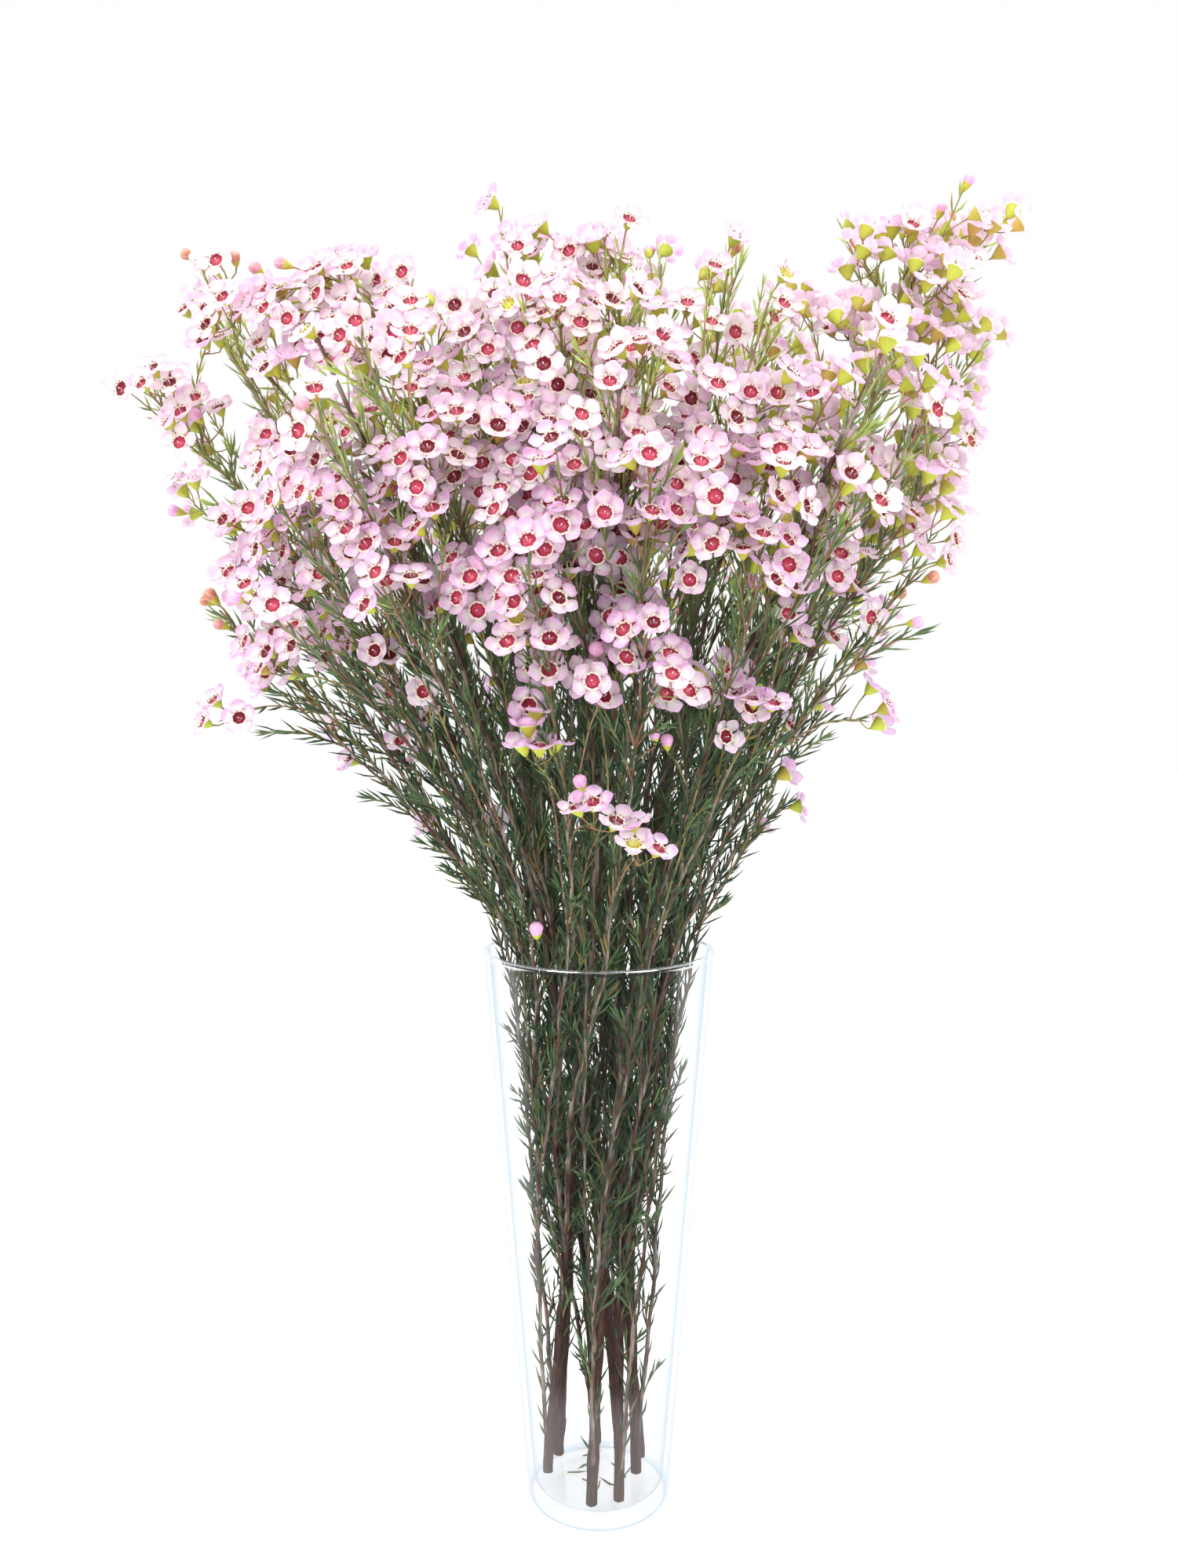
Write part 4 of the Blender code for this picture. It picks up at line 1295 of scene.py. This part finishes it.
def needle_forms(rows, draw):
    """Points, faces and looks of all the needles in the rows."""
    roots, ways, bends, lengths, fresh_and_lit = rows[:, 0:3], rows[:, 3:6], rows[:, 6:9], rows[:, 9], rows[:, 10]
    broad = np.cross(ways, draw.normal(0, 1, ways.shape))
    broad /= np.linalg.norm(broad, axis=1)[:, None]
    thick = np.cross(ways, broad)
    corners = [(1.0, 0.35), (-1.0, 0.35), (0.0, -0.75)]
    points, looks = [], []
    for step, fill in zip(NEEDLE_STEPS, NEEDLE_FILL):
        middle = roots + (ways * step + bends * step ** 2) * lengths[:, None]
        for x, y in corners if fill else [(0.0, 0.0)]:
            points.append(middle + (broad * x + thick * y) * NEEDLE_HALF_WIDTH * fill)
            looks.append(np.column_stack([np.full(len(rows), step), fresh_and_lit, rows[:, 11], np.ones(len(rows))]))
    count = len(points)
    points = np.stack(points, axis=1).reshape(-1, 3)
    looks = np.clip(np.stack(looks, axis=1).reshape(-1, 4), 0, 1)
    pattern = [(0, 1, 2)]
    for n in range(3):
        after = (n + 1) % 3
        pattern += [(n, 3 + after, after), (n, 3 + n, 3 + after), (3 + n, 6, 3 + after)]
    pattern = facing_out(points[:count], pattern)
    faces = (np.array(pattern)[None] + np.arange(len(rows))[:, None, None] * count).reshape(-1, 3)
    return points, faces.tolist(), looks


def needle_leaf():
    made, shade = new_finish("needle_leaf")
    along, fresh_and_lit, chance = looks(shade)
    glands = noise(shade, 2200.0, 1.0)
    patches = noise(shade, 160.0, 2.0)
    # The second look number holds painted shade low down and painted light higher up, besides freshness near
    # the tips and chance
    freshness_and_light = fresh_and_lit + (patches - 0.5) * 0.5 + along * 0.08
    colour = freshness_and_light.rising(0.05, 0.50).colour(NEEDLE_DARK, NEEDLE_GREEN)
    colour = freshness_and_light.rising(0.45, 0.95).colour(colour, NEEDLE_FRESH)
    colour = (chance.rising(0.93, 1.0) * 0.8).colour(colour, NEEDLE_DRY)
    colour = (glands.rising(0.62, 0.80) * 0.35).colour(colour, NEEDLE_FRESH)
    return opaque(made, shade, colour, 0.42 + patches * 0.2, {
        "Normal": bump(shade, 0.4, 0.0001, glands), "Specular IOR Level": 0.35})


def room_for(rows):
    """Which needles stay inside the vase or above it, inside the box, and out of the flowers."""
    places = crowd.places[:crowd.count]
    kept = np.ones(len(rows), bool)
    for step in (0.3, 0.6, 0.85, 1.0):
        at = rows[:, 0:3] + (rows[:, 3:6] * step + rows[:, 6:9] * step ** 2) * rows[:, 9:10]
        inside = np.hypot(at[:, 0], at[:, 1]) < inner_radius(at[:, 2]) - GLASS_ROOM
        kept &= (at[:, 2] > VASE_HEIGHT + 0.001) | inside
        kept &= ((at > np.array(cad_low) + BOX_ROOM) & (at < np.array(cad_high) - BOX_ROOM)).all(axis=1)
        kept &= at[:, 2] > FLOOR_THICK + 0.001
        if step > 0.5:
            kept &= np.linalg.norm(at[:, None] - places[None], axis=2).min(axis=1) > FLOWER_ROOM
    return kept


leaf_finish = needle_leaf()
for stem in stems:
    draw = np.random.default_rng(500 + stem.k)
    rows = np.vstack([needles_along(wood, draw) for wood in stem.wood])
    rows = np.column_stack([rows, draw.random(len(rows))])
    thinned = (rows[:, 2] < THIN_BELOW) & (draw.random(len(rows)) < THIN_SHARE)
    heap = Heap()
    heap.add(*needle_forms(rows[room_for(rows) & ~thinned], draw))
    heap.piece(f"stem_{stem.k + 1}_needles", leaf_finish, crease=70)


# A few needles have dropped and lie loose on the glass floor, round the cut ends. They are
# of the same kind as the needles on the stems, and more or less dry.

FALLEN = 9
FALLEN_REACH = 0.021


def fallen_rows():
    draw = np.random.default_rng(41)
    turns, spins = draw.uniform(0, 2 * np.pi, FALLEN), draw.uniform(0, 2 * np.pi, FALLEN)
    away = FALLEN_REACH * np.sqrt(draw.uniform(0.05, 0.6, FALLEN))
    lying = np.full(FALLEN, FLOOR_THICK + 0.0006)
    roots = np.column_stack([away * np.cos(turns), away * np.sin(turns), lying])
    ways = np.column_stack([np.cos(spins), np.sin(spins), np.full(FALLEN, 0.02)])
    bends = np.column_stack([-np.sin(spins), np.cos(spins), np.zeros(FALLEN)])
    bends *= draw.uniform(-0.25, 0.25, (FALLEN, 1))
    return np.column_stack([roots, ways, bends, draw.uniform(0.007, 0.012, FALLEN),
                            draw.uniform(0.1, 0.5, FALLEN), draw.uniform(0.90, 0.99, FALLEN)])


fallen_heap = Heap()
fallen_heap.add(*needle_forms(fallen_rows(), np.random.default_rng(42)))
fallen_heap.piece("fallen_needles", leaf_finish, crease=70)


# A bloom has five round, cupped, waxy petals on the rim of a small green top-shaped cup. The hollow top of
# the cup is a shiny crimson disc with a cream rim. Ten short stamens lean in over it, round one thin style.

PETAL_ROOT = 0.0033
PETAL_LENGTH = 0.0053
PETAL_HALF_WIDTH = 0.00350
PETAL_THICK = 0.00022
PETAL_STEPS = (0.0, 0.26, 0.56, 0.84, 1.0)
PETAL_FILL = (0.46, 0.86, 1.0, 0.80, 0.40)
PETAL_SIDES = (-1.0, -0.40, 0.40, 1.0)
OPENINGS = (0.20, 0.38, 0.55, 0.28, 0.75, 0.46)
CUP_PROFILE = [(0.0, -CUP_DEPTH), (0.00060, -CUP_DEPTH), (0.00135, -0.0040), (0.0027, -0.0018),
               (0.00350, -0.0002), (0.00375, 0.0003), (0.0034, 0.0006), (0.00292, 0.0002), (0.0025, -0.0010),
               (0.0, -0.0015)]
CUP_SIDES = 8
STAMENS = 10
STAMEN_ROOT = 0.00340
STAMEN_WIDTH = 0.00034
STYLE_WIDTH = 0.00032
STAMEN_FORMS = 4
BLOOM_SIZES = (0.96, 1.12)
# Painted shade and light in the petals' tint: deeper mauve low down as painted shade, paler high up, and
# paler still high on the right as painted backlight
PAINTED_SHADE_AND_LIGHT_TINT_LOW_HIGH = (0.74, 0.36)
PAINTED_BACKLIGHT_TINT_LESS_RIGHT = 0.14
TINT_CHANCE = 0.25
PETAL_PALE = (0.95, 0.81, 0.82, 1.0)
PETAL_PINK = (0.90, 0.52, 0.77, 1.0)
PETAL_MAUVE = (0.78, 0.33, 0.70, 1.0)
CUP_GREEN = (0.500, 0.560, 0.055, 1.0)
CUP_RED = (0.500, 0.310, 0.075, 1.0)
RIM_CREAM = (0.90, 0.76, 0.64, 1.0)
DISC_CRIMSON = (0.58, 0.060, 0.120, 1.0)
DISC_MAROON = (0.190, 0.012, 0.028, 1.0)
DISC_YELLOW = (0.62, 0.60, 0.100, 1.0)
ANTHER_DARK = (0.11, 0.018, 0.020, 1.0)


def petal(opening, chance):
    """One thin, sharp-edged petal along +X from the rim. Its look says how far along and across it is."""
    length = PETAL_LENGTH * chance.uniform(0.93, 1.05)
    half = PETAL_HALF_WIDTH * chance.uniform(0.93, 1.06)
    cupped = chance.uniform(0.0008, 0.0015)
    lifted = opening + chance.uniform(-0.12, 0.14)
    twist = chance.uniform(-0.15, 0.15)
    wide, tall = len(PETAL_SIDES), len(PETAL_STEPS)
    points, looks, under = [], [], {}
    for n, (along, fill) in enumerate(zip(PETAL_STEPS, PETAL_FILL)):
        for m, across in enumerate(PETAL_SIDES):
            x = length * (along - 0.15 * along * across * across)
            y = half * fill * across
            z = cupped * (across * across * fill + 0.9 * (2 * along - 1) ** 2 - 0.9)
            z += 0.00015 * math.sin(9 * along + 4 * across + 20 * twist) * along + twist * y * along
            inner = 0 < n < tall - 1 and 0 < m < wide - 1
            for depth in (0.0, PETAL_THICK) if inner else (0.0,):
                if depth:
                    under[n * wide + m] = len(points)
                points.append((PETAL_ROOT + x * math.cos(lifted) - (z - depth) * math.sin(lifted), y,
                               x * math.sin(lifted) + (z - depth) * math.cos(lifted) + 0.0002))
                looks.append((along, (across + 1) / 2, 0.0, 1.0 if depth else 0.0))
    top = {place: place + sum(other < place for other in under) for place in range(wide * tall)}
    faces = []
    for n in range(tall - 1):
        for m in range(wide - 1):
            a = n * wide + m
            quad = (a, a + wide, a + wide + 1, a + 1)
            faces.append(tuple(top[place] for place in quad))
            faces.append(tuple(under.get(place, top[place]) for place in quad[::-1]))
    return np.array(points), facing_out(np.array(points), faces), np.array(looks)


def turned(points, angle):
    """Points turned round +Z."""
    cos, sin = math.cos(angle), math.sin(angle)
    return points @ np.array([(cos, sin, 0), (-sin, cos, 0), (0, 0, 1)])


def ring_of_petals(opening, chance):
    heap = Heap()
    for n in range(PETALS):
        points, faces, looks = petal(opening, chance)
        heap.add(turned(points, 2 * math.pi * n / PETALS + chance.uniform(-0.07, 0.07)), faces, looks)
    return heap


def cup_form():
    """The cup with its disc. The look's first number runs from the cup's neck to the disc's middle."""
    points, faces = lathe(CUP_PROFILE, CUP_SIDES)
    last = len(CUP_PROFILE) - 1
    rings = [n / last for n in range(1, last) for _ in range(CUP_SIDES)]
    return points, faces, np.array([0.0, *rings, 1.0])


def spike(base, tip, width):
    """A thin three-sided rod from a base to a tip, with a sharp foot and a thick end."""
    way = (tip - base).normalized()
    ring = [tip + square_to(way, turn) * width for turn in (0, 2.094, 4.189)]
    points = np.array([tuple(p) for p in ring + [base]])
    return points, facing_out(points, [(0, 1, 2), (0, 1, 3), (1, 2, 3), (2, 0, 3)])


def stamens_of(chance):
    """Ten stamens round the rim that lean in, each with a dark anther, and the pale style in the middle."""
    heap = Heap()
    for n in range(STAMENS):
        angle = 2 * math.pi * (n + chance.uniform(-0.2, 0.2)) / STAMENS
        out = Vector((math.cos(angle), math.sin(angle), 0))
        base = out * STAMEN_ROOT + Vector((0, 0, 0.0003))
        tip = out * chance.uniform(0.0021, 0.0030) + Vector((0, 0, chance.uniform(0.0007, 0.0013)))
        heap.add(*spike(base, tip, STAMEN_WIDTH), [(1.0, 0, 0, 0)] * 3 + [(0.0, 0, 0, 0)])
    lean = shaken(chance, 0.0006, axes=2) + Vector((0, 0, 0.0017))
    heap.add(*spike(Vector((0, 0, -0.0019)), lean, STYLE_WIDTH), (0.0, 0, 0, 0))
    return heap


def facing_frame(facing, spin):
    """Rows that turn a form which looks along +Z to look along a facing, spun round it."""
    across = square_to(facing, spin)
    return np.array([tuple(across), tuple(facing.cross(across)), tuple(facing)])


def sine(value):
    return value.maths("SINE", value)


def petal_finish():
    made, shade = new_finish("pink_petal")
    under = shade.node("ShaderNodeAttribute", {"attribute_name": "look"}, out="Alpha")
    along, across, tint = looks(shade)
    mottle = noise(shade, 520.0, 3.0)
    fine = noise(shade, 2600.0, 2.0)
    edge = along.maths("MAXIMUM", along, abs(across * 2 - 1) * 0.80)
    flush = edge.rising(0.10, 1.0) * (0.40 + tint * 0.90) + (mottle - 0.5) * 0.55 * tint + tint * 0.15
    veins = sine(across * 44.0 * (1 - along * 0.25)).rising(0.55, 1.0)
    colour = flush.rising(0.0, 0.62).colour(PETAL_PALE, PETAL_PINK)
    colour = flush.rising(0.55, 1.25).colour(colour, PETAL_MAUVE)
    streaks = veins * 0.22 * along.rising(0.05, 0.4) * (1 - along.rising(0.7, 1.0))
    colour = streaks.colour(colour, PETAL_PINK)
    # The undersides are a deeper pink to mauve: partly the petals' own colour, partly painted shade
    back = (mottle.rising(0.3, 0.8) * 0.5 + tint * 0.6).colour(PETAL_PINK, PETAL_MAUVE)
    return opaque(made, shade, (under * 0.75).colour(colour, back), 0.42 + mottle * 0.18, {
        "Normal": bump(shade, 0.35, 0.0001, fine + veins * 0.6), "Specular IOR Level": 0.3,
        "Subsurface Weight": 0.75, "Subsurface Radius": (1.0, 0.60, 0.85), "Subsurface Scale": 0.0030})


def cup_finish():
    made, shade = new_finish("cup_and_disc")
    step, ripe, tint = looks(shade)
    patches = noise(shade, 700.0, 3.0)
    cup = (tint + (patches - 0.5) * 0.9).rising(0.45, 1.10).colour(CUP_GREEN, CUP_RED)
    disc = ripe.rising(0.62, 0.85).colour(DISC_CRIMSON, DISC_MAROON)
    # Painted shade: the disc darkens to maroon towards its border, under the rim's inner wall; the maroon
    # patches are its own mottling
    disc = (patches.rising(0.45, 0.75) * 0.30 + (1 - step.rising(0.84, 0.93)) * 0.6).colour(disc, DISC_MAROON)
    disc = (1 - ripe.rising(0.02, 0.04)).colour(disc, DISC_YELLOW)
    inside = (step + (patches - 0.5) * 0.04).rising(0.77, 0.81)
    colour = inside.colour(step.rising(0.46, 0.52).colour(cup, RIM_CREAM), disc)
    return opaque(made, shade, colour, 0.50 - inside * 0.28, {
        "Normal": bump(shade, 0.5, 0.00015, patches), "Specular IOR Level": 0.45})


def stamen_finish():
    made, shade = new_finish("stamens")
    dust = noise(shade, 3000.0, 1.0)
    colour = (looks(shade)[0] + (dust - 0.5) * 0.3).rising(0.35, 0.75).colour(RIM_CREAM, ANTHER_DARK)
    return opaque(made, shade, colour, 0.4 + dust * 0.3, {})


petal_material, cup_material, stamen_material = petal_finish(), cup_finish(), stamen_finish()
form_chance = random.Random(77)
petal_rings = [ring_of_petals(opening, form_chance) for opening in OPENINGS]
stamen_rings = [stamens_of(form_chance) for _ in range(STAMEN_FORMS)]
cup_points, cup_faces, cup_steps = cup_form()
for stem in stems:
    chance = random.Random(700 + stem.k)
    petals, cups, stamens = Heap(), Heap(), Heap()
    for flower in [flower for flower in stem.flowers if flower.kind != "bud"]:
        turned_to = facing_frame(flower.facing, chance.uniform(0, 2 * math.pi))
        size = chance.uniform(*BLOOM_SIZES)
        place = np.array(tuple(flower.centre))
        # Painted shade and light: the tint is deeper for low blooms and paler for high ones, most of all high
        # on the right, on top of a chance tint
        high = past(flower.centre.z, 0.42, 0.10)
        right = past(flower.centre.x, 0.03, 0.08) * high
        tint = mix(*PAINTED_SHADE_AND_LIGHT_TINT_LOW_HIGH, high) - PAINTED_BACKLIGHT_TINT_LESS_RIGHT * right + chance.gauss(0, TINT_CHANCE)
        tint = min(max(tint, 0.0), 1.0)
        ripe = 0.0 if flower.kind == "yellow" else chance.uniform(0.035, 1.0)
        ring = chance.choice(petal_rings)
        look = np.vstack(ring.looks).copy()
        look[:, 2] = tint
        petals.add(np.vstack(ring.points) * size @ turned_to + place, ring.faces, look)
        count = len(cup_steps)
        look = np.column_stack([cup_steps, np.full((count, 2), (ripe, chance.random())), np.ones(count)])
        cups.add(cup_points * size @ turned_to + place, cup_faces, look)
        ring = chance.choice(stamen_rings)
        stamens.add(np.vstack(ring.points) * size @ turned_to + place, ring.faces, np.vstack(ring.looks))
    petals.piece(f"stem_{stem.k + 1}_petals", petal_material, crease=50)
    cups.piece(f"stem_{stem.k + 1}_cups", cup_material, crease=65)
    stamens.piece(f"stem_{stem.k + 1}_stamens", stamen_material, crease=50)


# The buds are round and closed: the petals are still folded over each other into a coral to pink ball that
# sits in the same green cup. They end twigs at the top and at the sides, and four hang alone low in front.

BUD_PROFILE = [(0.0, -BUD_NECK), (0.0005, -BUD_NECK), (0.0011, -0.0052), (0.0020, -0.0034), (0.0025, -0.0020),
               (0.00262, -0.0014), (0.0029, -0.0004), (0.0031, 0.0006), (0.0029, 0.0017), (0.0022, 0.0026),
               (0.0011, 0.0031), (0.0, 0.0032)]
BUD_SIDES = 15
BUD_CORAL = (0.56, 0.235, 0.140, 1.0)
BUD_PINK = (0.74, 0.36, 0.62, 1.0)


def bud_form():
    points, faces = lathe(BUD_PROFILE, BUD_SIDES)
    turns = np.arctan2(points[:, 1], points[:, 0])
    folds = 1 + 0.035 * np.cos(5 * turns + points[:, 2] * 500) * (points[:, 2] > -0.0012)
    points[:, :2] *= folds[:, None]
    return points, faces, np.clip((points[:, 2] + BUD_NECK) / 0.0094, 0, 1), (turns / (2 * np.pi)) % 1


def bud_finish():
    made, shade = new_finish("flower_bud")
    rise, turn, pink = looks(shade)
    patches = noise(shade, 600.0, 3.0)
    ball = (pink + (patches - 0.5) * 0.4).rising(0.3, 0.7).colour(BUD_CORAL, BUD_PINK)
    seam = sine(turn * 31.4 + rise * 5.0).rising(0.80, 1.0)
    ball = (seam * 0.35 + rise.rising(0.86, 1.0) * 0.15).colour(ball, PETAL_PALE)
    cup = patches.rising(0.35, 0.8).colour(CUP_GREEN, CUP_RED)
    colour = (rise + (patches - 0.5) * 0.03).rising(0.49, 0.53).colour(cup, ball)
    return opaque(made, shade, colour, 0.36 + patches * 0.15, {
        "Normal": bump(shade, 0.4, 0.0002, patches + seam * 0.5),
        "Subsurface Weight": 0.2, "Subsurface Radius": (1.0, 0.5, 0.6), "Subsurface Scale": 0.001})


bud_material = bud_finish()
bud_points, bud_faces, bud_rise, bud_turn = bud_form()
for stem in stems:
    chance = random.Random(900 + stem.k)
    buds = Heap()
    for flower in [flower for flower in stem.flowers if flower.kind == "bud"]:
        points = bud_points * chance.uniform(0.8, 1.0) @ facing_frame(flower.facing, chance.uniform(0, 6))
        pink = np.full(len(points), chance.random() if flower.centre.z > 0.40 else 1.0)
        look = np.column_stack([bud_rise, bud_turn, pink, np.ones(len(points))])
        buds.add(points + np.array(tuple(flower.centre)), bud_faces, look)
    if buds.total:
        buds.piece(f"stem_{stem.k + 1}_buds", bud_material, crease=60)


# The studio: a pale seamless floor, soft white light from all round, a soft box on each side in front and one
# above, and the camera at the photograph's viewing angle, level with the lower part of the crown.

FLOOR_HALF = 6.0
CAMERA_DOWN = 3.9
FOCAL_PIXELS = 1583
PHOTO_HEIGHT = 1999
SENSOR = 36.0
FLOOR_GLOW = 0.35
ROOM_LIGHT = 0.88
ROOM_DARK = 0.04


def studio_floor():
    """Pale paper. In front it mirrors in the glass only close to the foot, and behind all of it does."""
    mesh = bpy.data.meshes.new("floor")
    corners = [(x * FLOOR_HALF, y * FLOOR_HALF, 0) for x, y in ((-1, -1), (1, -1), (1, 1), (-1, 1))]
    mesh.from_pydata(corners, [], [(0, 1, 2, 3)])
    made, shade = new_finish("studio_floor")
    place = shade.node("ShaderNodeTexCoord", out="Object")
    surface = shade.node("ShaderNodeBsdfPrincipled", {}, {
        "Base Color": (0.93, 0.93, 0.93, 1.0), "Roughness": 0.8 + noise(shade, 60.0, 3.0, place) * 0.1,
        "Emission Color": WHITE, "Emission Strength": FLOOR_GLOW})
    away = shade.node("ShaderNodeVectorMath", {"operation": "LENGTH"}, {0: place}, out="Value")
    behind = shade.node("ShaderNodeSeparateXYZ", {}, {"Vector": place}, out="Y").rising(-0.12, 0.02)
    white, dark = [shade.node("ShaderNodeEmission", {}, {"Strength": glow}) for glow in (1.0, ROOM_DARK)]
    mirrored = mixed(shade, away.rising(0.105, 0.135) * (1 - behind), white, dark)
    glossy = shade.node("ShaderNodeLightPath", out="Glossy Depth").rising(0.2, 0.8)
    mesh.materials.append(closed(made, shade, mixed(shade, glossy, surface, mirrored)))
    floor = bpy.data.objects.new("floor", mesh)
    bpy.context.scene.collection.objects.link(floor)
    floor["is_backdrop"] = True


def soft_box(name, place, aim, size, power):
    light = bpy.data.lights.new(name, "AREA")
    light.shape = "RECTANGLE"
    light.size, light.size_y = size
    light.energy = power
    made = bpy.data.objects.new(name, light)
    made.location = place
    made.rotation_euler = (Vector(aim) - Vector(place)).to_track_quat("-Z", "Y").to_euler()
    bpy.context.scene.collection.objects.link(made)


def surrounding_light():
    """White to the eye, softer as light. Gloss mirrors white behind and above, and a dark room in front."""
    world = bpy.data.worlds.new("studio")
    world.use_nodes = True
    world.node_tree.nodes.clear()
    shade = Shade(world.node_tree)
    way = shade.node("ShaderNodeTexCoord", out="Generated")
    behind = shade.node("ShaderNodeSeparateXYZ", {}, {"Vector": way}, out="Y").rising(-0.15, 0.25)
    above = shade.node("ShaderNodeSeparateXYZ", {}, {"Vector": way}, out="Z").rising(0.15, 0.50)
    mirror = ROOM_DARK + behind.maths("MAXIMUM", behind, above) * 0.92
    light, mirrored, white = [
        shade.node("ShaderNodeBackground", {}, {"Color": colour, "Strength": strength}) for colour, strength
        in (((0.98, 0.99, 1.0, 1.0), ROOM_LIGHT), ((0.93, 0.97, 1.0, 1.0), mirror), (WHITE, 1.0))]
    glossy = shade.node("ShaderNodeLightPath", out="Glossy Depth").rising(0.2, 0.8)
    seen = shade.node("ShaderNodeLightPath", out="Is Camera Ray")
    light = mixed(shade, seen, mixed(shade, glossy, light, mirrored), white)
    shade.node("ShaderNodeOutputWorld", {}, {"Surface": light})
    bpy.context.scene.world = world


def photo_camera():
    data = bpy.data.cameras.new("camera")
    data.sensor_width = SENSOR
    data.lens = SENSOR * FOCAL_PIXELS / PHOTO_HEIGHT
    data.clip_start = 0.01
    made = bpy.data.objects.new("camera", data)
    made.location = EYE
    made.rotation_euler = (math.radians(90 - CAMERA_DOWN), 0, 0)
    bpy.context.scene.collection.objects.link(made)
    bpy.context.scene.camera = made


studio_floor()
soft_box("left_box", (-0.9, -1.1, 1.2), (0, 0, 0.45), (0.8, 1.0), 15)
soft_box("right_box", (1.0, -1.0, 1.0), (0, 0, 0.45), (0.8, 1.0), 10)
soft_box("top_box", (0.0, -0.1, 1.7), (0, 0, 0.5), (1.2, 1.0), 12)
surrounding_light()
photo_camera()
bpy.context.scene.view_settings.view_transform = "Standard"

low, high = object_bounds()
